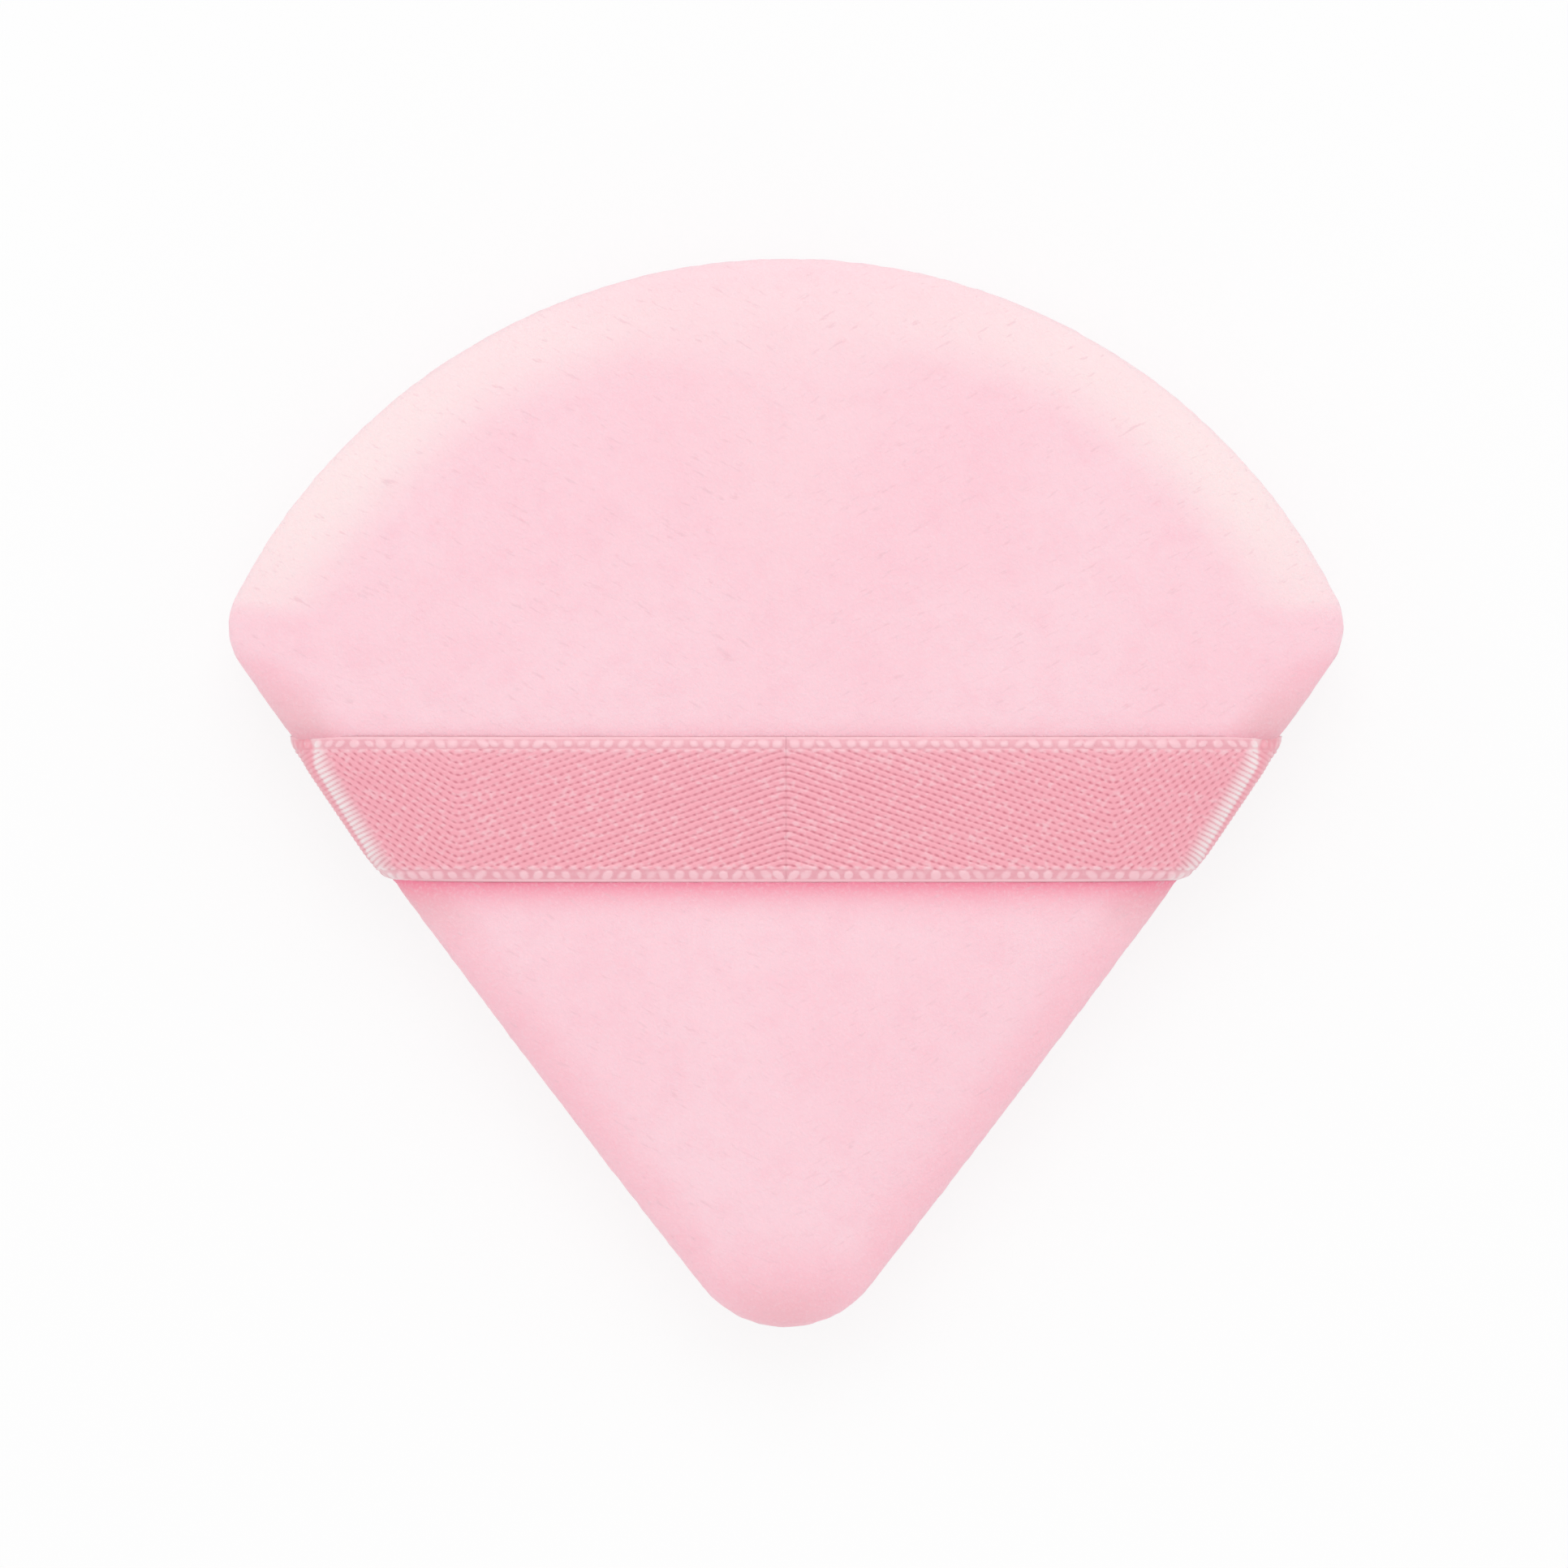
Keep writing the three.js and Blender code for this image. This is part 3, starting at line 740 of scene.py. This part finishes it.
def painted_pile_light(points, spots):
    """Where the pile gets a painted highlight, painted shade on its lower sides, and painted shade beside
    the ribbon's ends and at the tip, each from 0 to 1.
    """
    at, out = spots
    facing = np.degrees(np.arctan2(out[:, 1], np.abs(out[:, 0])))
    inset = ((at - points[..., :2]) * out).sum(axis=2)
    top = smooth(facing, *TOP_FACING)
    loss = SHOULDER_LOSS * smooth(facing, *SHOULDER_FACING)
    upper = smooth(facing, *UPPER_FACING) * (1 - loss - TOP_LOSS * top)
    widening = TOP_WIDENING * top
    # painted highlight on the upper rim
    painted_highlight = upper * (1 - smooth(inset, HIGHLIGHT_START + widening, HIGHLIGHT_WIDTH + widening))
    painted_highlight = painted_highlight * smooth(points[..., 2] - SEAM_HEIGHT, 0, HIGHLIGHT_RISE)
    painted_highlight = painted_highlight * (1 - RIM_LOSS * top * (1 - smooth(inset, *RIM_INSET)))
    painted_highlight = painted_highlight + BROAD_SHARE * top * smooth(inset, *BROAD_START) * (1 - smooth(inset, *BROAD_END))
    tip = smooth(-facing, *TIP_FACING)
    # painted shade on the lower sides, stronger at the tip
    lower = LOWER_SHADE_SHARE * (1 + TIP_DARKENING * tip) * smooth(-facing, *LOWER_FACING)
    lower_shade = lower * (1 - smooth(inset, LOWER_SHADE_START, LOWER_SHADE_WIDTH * (1 + tip)))
    _, beyond = beyond_ribbon(points[..., 1])
    # painted shade beside the ribbon's ends
    shade_by_ribbon_end = (1 - smooth(beyond, 0, PINCH_WIDTH)) * (1 - smooth(inset, *PINCH_INSET))
    turned_away = TIP_SHADE * tip * (1 - smooth(inset, *TIP_INSET))
    return {"painted_highlight": painted_highlight, "lower_shade": lower_shade, "shade": SHADE_SHARE * np.maximum(shade_by_ribbon_end, turned_away)}


def velour_panel(name, way, swell):
    """One cover panel: outer face, turned-in allowance and inner face, as one closed shell."""
    spots = outline(SKIN_STEP)
    at, _ = spots
    gap = seam_gap(at)
    outer = skin_rows(spots, way, SKIN_ROWS, DISC_ROWS, FOLD_ROWS)
    if swell is not None:
        moved = swell_at(outer, swell)
        moved *= smooth(np.arange(len(outer)), 0, FOLD_ROWS + SWELL_ROWS)[:, None, None]
        outer = outer + moved
    if way > 0:
        outer = pressed_by_ribbon(outer)
    normals = grid_normals(outer, way)
    fluff = NAP_HEIGHT * nap(outer)
    smooth_outer = outer
    outer = outer + normals * fluff[..., None]
    outer[-1] = outer[-1].mean(axis=0)
    if way < 0:
        outer[..., 2] = np.maximum(outer[..., 2], FLOOR_CLEARANCE)
    inner = smooth_outer - FABRIC * normals
    first_inner = FOLD_ROWS + SKIN_ROWS // 4
    inner_rows = np.concatenate([inner[first_inner::INNER_EVERY], inner[-1:]])
    inner_rows[-1] = inner_rows[-1].mean(axis=0)
    ledges = []
    for inset, level in ((FABRIC + ALLOWANCE_GAP, FABRIC), (SEAM_ALLOWANCE, FABRIC), (SEAM_ALLOWANCE, 0.0)):
        plan = inward(spots, inset / SIDE_REACH)
        ledges.append(np.column_stack([plan, SEAM_HEIGHT + way * (gap + level)]))
    grid = np.concatenate([inner_rows[::-1], ledges, outer])
    panel = make_object(name, *closed_loft(grid), flip=way < 0)
    inside = np.zeros((len(grid) - len(outer), len(at)))
    for word, values in painted_pile_light(smooth_outer, spots).items():
        values = np.concatenate([inside, values])
        mark(panel, word, np.concatenate([values[1:-1].ravel(), values[[0, -1], 0]]))
    return panel, smooth_outer, normals


def foam_piece(upper, lower):
    """Foam between the panels, with a straight edge that clears the seam allowances."""
    inset_share = (SEAM_ALLOWANCE + ALLOWANCE_GAP) / SIDE_REACH
    first = FOLD_ROWS + int(np.argmax(flank_shares(SKIN_ROWS) > inset_share))
    layer = FABRIC + FOAM_GAP
    top = (upper[0] - layer * upper[1])[first::FOAM_EVERY]
    bottom = (lower[0] - layer * lower[1])[first::FOAM_EVERY]
    top[-1] = upper[0][-1].mean(axis=0) - [0, 0, layer]
    bottom[-1] = lower[0][-1].mean(axis=0) + [0, 0, layer]
    grid = np.concatenate([bottom[::-1], top])
    pits = CELL_HEIGHT * nap(grid * CELL_GRAIN)
    grid[1:-1, :, 2] += pits[1:-1] * np.sign(grid[1:-1, :, 2] - SEAM_HEIGHT)
    return make_object("foam_filling", *closed_loft(grid))


# The ribbon's weave

def bead_row(along, from_edge, seed):
    """Uneven beads of a woven edge, from 0 to 1."""
    chance = np.random.default_rng(seed)
    place = along / BEAD_PITCH
    bead = np.floor(place).astype(int)
    count = bead.max() + 1
    ranges = (BEAD_SHIFTS, BEAD_SIZES, BEAD_LIFTS, BEAD_SLANTS)
    shift, size, lift, slant = (chance.uniform(*ends, count)[bead] for ends in ranges)
    across = (from_edge - BEAD_MIDDLE) / (BEAD_HALF_WIDTH * size)
    lengthways = (place - bead - 0.5 + shift) * BEAD_PITCH / (BEAD_HALF_LENGTH * size) + slant * across
    room = 1 - np.abs(lengthways) ** BEAD_FULLNESS
    return lift * np.sqrt(np.clip(room - np.abs(across) ** BEAD_FULLNESS, 0, 1))


def ribs(along, across, insets, turned):
    """The herringbone's ribs, which give way to the bend's where they have turned, from 0 to 1."""
    wander = UNEVEN * sum(np.sin(a * across + b * along) for a, b in WANDER_WAVES)
    past_turn = (along - TURN_AT + np.hypot(along - TURN_AT, TURN_ROUND)) / 2
    run = RIB_SLOPE * np.hypot(along, PEAK_ROUND) - (RIB_SLOPE + STEEP_SLOPE) * past_turn
    phase = (across + run) / RIB_PITCH + wander
    floats = np.cos(2 * math.pi * (along / WEFT_PITCH + WEFT_STEP * np.round(phase)))
    broken = BROKEN + MORE_BROKEN * smooth(along, 0, TURN_AT)
    flat_rib = 1 - (1 - np.abs(np.sin(math.pi * phase))) * (1 - broken + broken * floats)
    lean = BEND_LEAN + BEND_FAN * smooth(-across, FAN_START, HALF_RIBBON)
    bend_phase = (across - lean * insets / SIDE_OUT[0]) / BEND_PITCH + wander
    bend_rib = np.abs(np.sin(math.pi * bend_phase))
    return flat_rib + (bend_rib - flat_rib) * turned


def weave(along, across, insets, lift):
    """The weave over the ribbon: its height, and from 0 to 1 its ribs with painted light and shade, its
    selvedges, a painted highlight at the bend and painted shade on the steep wall.
    """
    from_outer = insets + ribbon_proud(across)
    bend_width = BEND_WIDTH + BEND_TAPER * across
    turned = 1 - smooth(from_outer, bend_width - BEND_SOFTNESS, bend_width + BEND_SOFTNESS)
    rib = ribs(along, across, insets, turned)
    from_edge = HALF_RIBBON - np.abs(across) + 0 * along
    bead = np.where(across > 0, *(bead_row(along, from_edge, seed) for seed in BEAD_SEEDS))
    tie_row = np.exp(-(((from_edge - TIE_MIDDLE) / TIE_HALF_WIDTH) ** 2))
    tie = tie_row * (0.5 + 0.5 * np.cos(2 * math.pi * along / BEAD_PITCH))
    selvedge = 1 - smooth(from_edge, SELVEDGE, SELVEDGE + SELVEDGE_SOFTNESS)
    height = (1 - selvedge) * (RIB_HEIGHT * rib + TIE_HEIGHT * tie)
    height = height + selvedge * (SELVEDGE_HEIGHT + BEAD_HEIGHT * bead)
    edge_thread = 1 - smooth(from_edge, EDGE_THREAD - EDGE_SOFTNESS, EDGE_THREAD)
    edge_lit = np.maximum(BEAD_GROUND + (1 - BEAD_GROUND) * bead, EDGE_LIGHT * edge_thread)
    # painted light on the tops of threads and beads, painted shade in the grooves and between the beads
    lit = (1 - selvedge) * np.maximum(rib, tie) + selvedge * edge_lit
    wall_width = WALL_WIDTH + WALL_TAPER * across + WALL_CORNER * smooth(across, *UPPER_CORNER)
    wall_width = wall_width * smooth(across, *LOWER_CORNER)
    # painted shade on the steep part
    wall_shade = 1 - smooth(from_outer, wall_width - WALL_SOFTNESS, wall_width + WALL_SOFTNESS)
    wall_shade = wall_shade * smooth(lift, *WALL_CLIMB)
    # painted highlight where the ribbon bends down
    bend_highlight = 1 - smooth(from_outer, wall_width + HIGHLIGHT_SHIFT, bend_width + HIGHLIGHT_SHIFT)
    bend_highlight = bend_highlight * smooth(lift, *HIGHLIGHT_CLIMB) * (1 - wall_shade)
    return height, {"rib": lit, "selvedge": np.maximum(selvedge, tie), "bend_highlight": bend_highlight, "wall_shade": wall_shade}


def ribbon_half(name, side):
    """Half of the ribbon, from its middle to its end in the seam, as a closed band."""
    across, middle, along, insets = ribbon_grid(*RIBBON_CUTS)
    normals = unit(np.cross(np.gradient(middle, axis=1), np.gradient(middle, axis=0)))
    lift = (middle[..., 2] - SEAM_HEIGHT) / (RIBBON_LEVEL - SEAM_HEIGHT)
    height, zones = weave(along, across[:, None], insets, lift)
    from_edge = HALF_RIBBON - np.abs(across)
    round_off = 1 - np.clip(1 - from_edge[:, None] / EDGE_ROUND, 0, 1) ** 2
    over = middle + normals * ((RIBBON_THICKNESS + height) * round_off - HALF_THICKNESS)[..., None]
    picks = np.linspace(len(across) - 2, 1, RIBBON_CUTS_UNDER).round().astype(int)
    under = (middle - normals * HALF_THICKNESS)[picks]
    loop = np.concatenate([over, under])
    loop[:, 0, 0] = 0
    loop[..., 0] *= side
    rings = loop.transpose(1, 0, 2)
    made = make_object(name, rings.reshape(-1, 3), band_faces(*rings.shape[:2]), flip=side > 0)
    for cap in made.data.polygons[-2:]:
        cap.use_smooth = False
    for word, values in zones.items():
        mark(made, word, np.concatenate([values, np.zeros_like(values[picks])]).T)
    return made, float(along[len(across) // 2, -1])


# Threads

def two_ply(path):
    """Two strands twisted round a path in millimetres."""
    tangent = unit(np.gradient(path, axis=0))
    side = unit(np.cross(tangent, PLY_ASIDE))
    up = np.cross(tangent, side)
    walked = np.concatenate([[0], np.cumsum(np.linalg.norm(np.diff(path, axis=0), axis=1))])
    points = []
    faces = []
    for start in (0.0, math.pi):
        angle = start + 2 * math.pi * walked / PLY_TWIST
        strand = path + PLY_RADIUS * (np.cos(angle)[:, None] * side + np.sin(angle)[:, None] * up)
        made_points, made_faces = tube(strand, PLY_RADIUS, PLY_SIDES)
        faces += [[i + len(points) for i in face] for face in made_faces]
        points += made_points.tolist()
    return points, faces


def curve_through(corners, cuts):
    """A smooth path through corners, with a number of cuts between each two."""
    corners = np.asarray(corners, float)
    before, here, after, beyond = corners[:-3], corners[1:-2], corners[2:-1], corners[3:]
    square = 2 * before - 5 * here + 4 * after - beyond
    cube = 3 * here - 3 * after + beyond - before
    path = []
    for t in np.arange(cuts) / cuts:
        path.append(here + 0.5 * ((after - before) * t + square * t**2 + cube * t**3))
    return np.stack(path, axis=1).reshape(-1, 3)


def closing_thread():
    """Ladder stitch: short bars across the crease of the seam, joined inside the folds."""
    corners = []
    for i, y in enumerate(np.linspace(CLOSING_TOP, CLOSING_BOTTOM, CLOSING_BARS)):
        way = 1 - 2 * (i % 2)
        for share in BAR_STOPS:
            inset = BAR_INSET if abs(share) <= 1 else BURIED_INSET
            corners.append((side_x(y) - inset / SIDE_OUT[0], y, SEAM_HEIGHT + way * share * BAR_RISE))
    return make_object("closing_thread", *two_ply(curve_through(corners, BAR_CUTS)))


def seam_stitches(name, way):
    """One thread of the lockstitch, which dips at every hole."""
    spots = outline(STITCH_STEP)
    gap = seam_gap(spots[0])
    plan = inward(spots, STITCH_INSET / SIDE_REACH)
    walked = np.cumsum(np.linalg.norm(np.roll(plan, -1, axis=0) - plan, axis=1))
    count = round(walked[-1] / STITCH_LENGTH)
    dip = np.cos(math.pi * count * walked / walked[-1]) ** DIP_SHARPNESS
    level = gap + FABRIC + STITCH_LEVEL - STITCH_DIP * dip
    path = np.column_stack([plan, SEAM_HEIGHT + way * level])
    return make_object(name, *tube(path, STITCH_RADIUS, STITCH_SIDES, closed=True))


# Materials

def own_node(tree, kind):
    """The one node of a kind that a new tree comes with."""
    return next(n for n in tree.nodes if n.type == kind)


def shader_of(name):
    """A new material with its node tree and its shader."""
    material = bpy.data.materials.new(name)
    material.use_nodes = True
    tree = material.node_tree
    return material, tree, own_node(tree, "BSDF_PRINCIPLED")


def give(tree, made, inputs):
    """Gives inputs of a node their values, or links them to outputs."""
    for word, value in inputs.items():
        if isinstance(value, bpy.types.NodeSocket):
            tree.links.new(value, made.inputs[word])
        else:
            made.inputs[word].default_value = value


def node(tree, kind, inputs=None, **settings):
    made = with_settings(tree.nodes.new("ShaderNode" + kind), **settings)
    give(tree, made, inputs or {})
    return made


def marked(tree, word):
    """The values that a mesh holds under a word."""
    return node(tree, "Attribute", attribute_name=word).outputs["Fac"]


def in_millimetres(tree, scale=(1, 1, 1), turn=0.0):
    """The object's own coordinates in millimetres, along axes turned about z, and scaled."""
    coordinates = node(tree, "TexCoord").outputs["Object"]
    inputs = {"Vector": coordinates, "Scale": [MM / s for s in scale], "Rotation": (0, 0, turn)}
    return node(tree, "Mapping", inputs, vector_type="TEXTURE").outputs["Vector"]


def places(tree):
    """The object's own X, Y and Z in millimetres."""
    return node(tree, "SeparateXYZ", {"Vector": in_millimetres(tree)}).outputs


def noise_of(tree, vector, scale=1.0, detail=2.0, roughness=0.5):
    inputs = {"Vector": vector, "Scale": scale, "Detail": detail, "Roughness": roughness}
    return node(tree, "TexNoise", inputs).outputs["Fac"]


def mapped(tree, value, source, target=(0.0, 1.0)):
    """Takes a value from one range to another, and keeps it there."""
    words = ("Value", "From Min", "From Max", "To Min", "To Max")
    return node(tree, "MapRange", dict(zip(words, (value, *source, *target)))).outputs["Result"]


def joined(tree, how, first, second):
    return node(tree, "Math", {0: first, 1: second}, operation=how).outputs["Value"]


def tinted(tree, factor, first, second):
    """Mixes two colours, or a socket's and a colour, by a factor."""
    inputs = {"Factor": factor}
    for word, colour in (("A", first), ("B", second)):
        inputs[word] = (*colour, 1) if isinstance(colour, tuple) else colour
    return node(tree, "Mix", inputs, data_type="RGBA").outputs["Result"]


def bumped(tree, height, distance, strength):
    inputs = {"Height": height, "Distance": distance * MM, "Strength": strength}
    return node(tree, "Bump", inputs).outputs["Normal"]


def mix_surface(tree, share, first, second):
    """Makes a material's surface of two shaders, with a share of the second."""
    mix = node(tree, "MixShader", {0: share, 1: first, 2: second})
    give(tree, own_node(tree, "OUTPUT_MATERIAL"), {"Surface": mix.outputs["Shader"]})


def painted_contact_shadow(tree, place):
    """Painted shadow on the front's pile beside the ribbon, where it presses the pile, stronger and wider
    below it, from 0 to 1.
    """
    across = place["Y"]
    depth = mapped(tree, across, (RIBBON_BOTTOM, RIBBON_TOP), (1.0, UPPER_SHADOW_SHARE))
    above = mapped(tree, across, (RIBBON_TOP, RIBBON_TOP + SHADOW_ABOVE), (1.0, 0.0))
    below = mapped(tree, across, (RIBBON_BOTTOM - SHADOW_BELOW, RIBBON_BOTTOM))
    front = mapped(tree, place["Z"], (SEAM_HEIGHT, SEAM_HEIGHT + FOLD_RISE))
    beside = joined(tree, "MULTIPLY", depth, joined(tree, "MULTIPLY", above, below))
    return joined(tree, "MULTIPLY", front, joined(tree, "POWER", beside, SHADOW_POWER))


def nap_strokes(tree, place, side):
    """Small slanted marks of the nap on one half of the puff, from 0 to 1."""
    marks = noise_of(tree, in_millimetres(tree, STROKE_GRAIN, side * STROKE_SLANT), roughness=0.55)
    half = mapped(tree, place["X"], (-STROKE_BLEND * side, STROKE_BLEND * side))
    return joined(tree, "MULTIPLY", mapped(tree, marks, (0.62, 0.74)), half)


def velour_material():
    """Short dense pile: brushed patches, slanted nap strokes and a fine grain, under a soft sheen."""
    material, tree, shader = shader_of("velour")
    plain = in_millimetres(tree)
    place = places(tree)
    patches = noise_of(tree, plain, scale=0.07)
    mottle = noise_of(tree, plain, scale=0.5, detail=3.0, roughness=0.6)
    grain = noise_of(tree, plain, scale=4.5, detail=3.0, roughness=0.6)
    strokes = joined(tree, "ADD", nap_strokes(tree, place, -1), nap_strokes(tree, place, 1))
    colour = tinted(tree, mapped(tree, patches, (0.35, 0.65), (0.0, 0.6)), *VELOUR_PATCHES)
    for share, tint in (
        (mapped(tree, mottle, (0.45, 0.75), (0.0, 0.5)), VELOUR_MOTTLE),
        # painted highlight on the upper rim
        (marked(tree, "painted_highlight"), VELOUR_PAINTED_HIGHLIGHT),
        # painted shade on the lower sides and at the tip
        (marked(tree, "lower_shade"), VELOUR_LOWER_SHADE),
        # painted shade beside the ribbon's ends and at the tip
        (marked(tree, "shade"), VELOUR_SHADE),
        # painted shadow beside the ribbon, where it presses the pile
        (painted_contact_shadow(tree, place), VELOUR_CONTACT_SHADOW),
        (mapped(tree, strokes, (0.0, 1.0), (0.0, 0.4)), VELOUR_STROKE),
        (mapped(tree, grain, (0.5, 0.8), (0.0, 0.35)), VELOUR_GRAIN),
    ):
        colour = tinted(tree, share, colour, tint)
    give(tree, shader, {
        "Base Color": colour,
        "Roughness": 0.95,
        "Specular IOR Level": 0.2,
        "Sheen Weight": 0.35, "Sheen Roughness": 0.45, "Sheen Tint": VELOUR_SHEEN,
        "Subsurface Weight": 0.15, "Subsurface Radius": (1.0, 0.4, 0.45), "Subsurface Scale": 1.0 * MM,
        "Normal": bumped(tree, joined(tree, "ADD", grain, mottle), distance=0.25, strength=0.4),
    })
    return material


def ribbon_material():
    """Satin threads: painted light on the ribs and edge beads, painted shade in the grooves."""
    material, tree, shader = shader_of("ribbon")
    threads = noise_of(tree, in_millimetres(tree, (0.35, 2.2, 1.0)))
    glints = noise_of(tree, in_millimetres(tree, (2.2, 2.8, 1.0)), detail=1.0)
    lit = mapped(tree, marked(tree, "rib"), (0.05, 0.8))
    # painted light on the tops of the threads, painted shade in the grooves
    colour = tinted(tree, lit, *WEAVE_COLOURS)
    for word, pair in (("selvedge", EDGE_COLOURS), ("bend_highlight", BEND_HIGHLIGHT_COLOURS), ("wall_shade", WALL_SHADE_COLOURS)):
        colour = tinted(tree, marked(tree, word), colour, tinted(tree, lit, *pair))
    uneven = mapped(tree, threads, (0.3, 0.7), (0.0, 0.18))
    # painted glints on the tops of the threads
    glinting = joined(tree, "MULTIPLY", lit, mapped(tree, glints, (0.52, 0.72), (0.0, 0.5)))
    # painted light, lighter towards the ribbon's upper edge
    upper = mapped(tree, places(tree)["Y"], (RIBBON_MIDDLE + 1.5, RIBBON_TOP - 1), (0.0, 0.1))
    for share, tint in ((uneven, RIBBON_TONE), (glinting, RIBBON_GLINT), (upper, RIBBON_UPPER_LIGHT)):
        colour = tinted(tree, share, colour, tint)
    give(tree, shader, {
        "Base Color": colour,
        "Roughness": mapped(tree, threads, (0.3, 0.7), (0.3, 0.4)),
        "Specular IOR Level": 0.8,
        "Sheen Weight": 0.15, "Sheen Roughness": 0.3,
    })
    through = node(tree, "BsdfTranslucent", {"Color": colour})
    mix_surface(tree, LET_THROUGH, shader.outputs["BSDF"], through.outputs["BSDF"])
    return material


def thread_material():
    """Spun thread with loose fibres."""
    material, tree, shader = shader_of("thread")
    fibres = noise_of(tree, in_millimetres(tree), scale=6.0, detail=3.0)
    colour = tinted(tree, mapped(tree, fibres, (0.35, 0.65)), *THREAD_COLOURS)
    fuzz = bumped(tree, fibres, distance=0.05, strength=0.5)
    give(tree, shader, {"Base Color": colour, "Roughness": 0.6, "Sheen Weight": 0.2, "Normal": fuzz})
    return material


def foam_material():
    """Open-cell foam."""
    material, tree, shader = shader_of("foam")
    inputs = {"Vector": in_millimetres(tree), "Scale": 1.8}
    cells = node(tree, "TexVoronoi", inputs, feature="DISTANCE_TO_EDGE")
    hollow = mapped(tree, cells.outputs["Distance"], (0.02, 0.25))
    # painted shade in the hollows of the cells
    colour = tinted(tree, hollow, *FOAM_COLOURS)
    pitted = bumped(tree, hollow, distance=-0.3, strength=0.6)
    give(tree, shader, {"Base Color": colour, "Roughness": 0.95, "Normal": pitted})
    return material


def dress(obj, material):
    obj.data.materials.append(material)


# The stage

def add_camera():
    data = bpy.data.cameras.new("camera")
    with_settings(data, lens=LENS, sensor_width=SENSOR, clip_start=0.01, clip_end=20)
    camera = new_object("camera", data)
    distance = FRAME_WIDTH * LENS / SENSOR
    camera.location = Vector((*FRAME_MIDDLE, SEAM_HEIGHT + distance)) * MM
    scene.camera = camera


def add_softbox(name, place, size, power, way=1):
    """A square lamp that faces the pad, at a place or, for way -1, at its mirror image."""
    data = with_settings(bpy.data.lights.new(name, "AREA"), size=size, energy=power)
    lamp = new_object(name, data)
    lamp.location = (way * place[0], *place[1:])
    aim = Vector((0, 0, SEAM_HEIGHT * MM)) - lamp.location
    lamp.rotation_mode = "QUATERNION"
    lamp.rotation_quaternion = aim.to_track_quat("-Z", "Y")


def seen_directly(tree):
    """1 where the camera sees a surface, also mirrored or through glass, and 0 for its light on things."""
    path = node(tree, "LightPath")
    mirrored = joined(tree, "MAXIMUM", path.outputs["Is Glossy Ray"], path.outputs["Is Transmission Ray"])
    return joined(tree, "MAXIMUM", path.outputs["Is Camera Ray"], mirrored)


def add_world():
    """Even white light all round, and plain white where the camera sees past the floor."""
    world = bpy.data.worlds.new("studio")
    world.use_nodes = True
    tree = world.node_tree
    seen = mapped(tree, seen_directly(tree), (0.0, 1.0), (WORLD_LIGHT, BACKDROP_LIGHT))
    give(tree, own_node(tree, "BACKGROUND"), {"Color": (1, 1, 1, 1), "Strength": seen})
    scene.world = world


def add_floor():
    """A white table top with the pad's soft shadow."""
    half = 3000.0
    corners = [(x * half, y * half, 0) for x, y in SQUARE]
    floor = make_object("floor", corners, [[0, 1, 2, 3]])
    material, tree, shader = shader_of("floor")
    give(tree, shader, {"Base Color": (0.9, 0.9, 0.9, 1), "Roughness": 0.9, "Specular IOR Level": 0.1})
    glow = node(tree, "Emission")
    share = joined(tree, "MULTIPLY", seen_directly(tree), FLOOR_GLOW)
    mix_surface(tree, share, shader.outputs["BSDF"], glow.outputs["Emission"])
    dress(floor, material)


# Putting it together

scene.view_settings.view_transform = "Standard"
add_camera()
add_world()
add_softbox("key", *KEY_LAMP)
add_softbox("front", *FRONT_LAMP)
for word, way in SIDES:
    add_softbox(word, *SIDE_LAMP, way)
    add_softbox("front_" + word, *FRONT_SIDE_LAMP, way)
add_floor()

velour = velour_material()
satin = ribbon_material()
spun = thread_material()
sponge = foam_material()

swell = simulated_swell()
front, *front_skin = velour_panel("front_velour", 1, swell)
back, *back_skin = velour_panel("back_velour", -1, swell)
for panel, cad_node in ((front, "front_cover"), (back, "back_cover")):
    dress(panel, velour)
    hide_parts(cad_node)
    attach(panel, "puff")

foam = foam_piece(front_skin, back_skin)
dress(foam, sponge)
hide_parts("foam_core")
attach(foam, "puff")

for stitches, cad_node in (
    (seam_stitches("needle_stitches", 1), "needle_thread"),
    (seam_stitches("bobbin_stitches", -1), "bobbin_thread"),
    (closing_thread(), "closing_stitch"),
):
    dress(stitches, spun)
    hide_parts(cad_node)
    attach(stitches, "puff")

for word, side in SIDES:
    half, length = ribbon_half("ribbon_" + word, side)
    dress(half, satin)
    nodes = ["ribbon_shoulder_" + word, "ribbon_tail_" + word]
    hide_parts(*nodes, "ribbon_span")
    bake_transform(half)
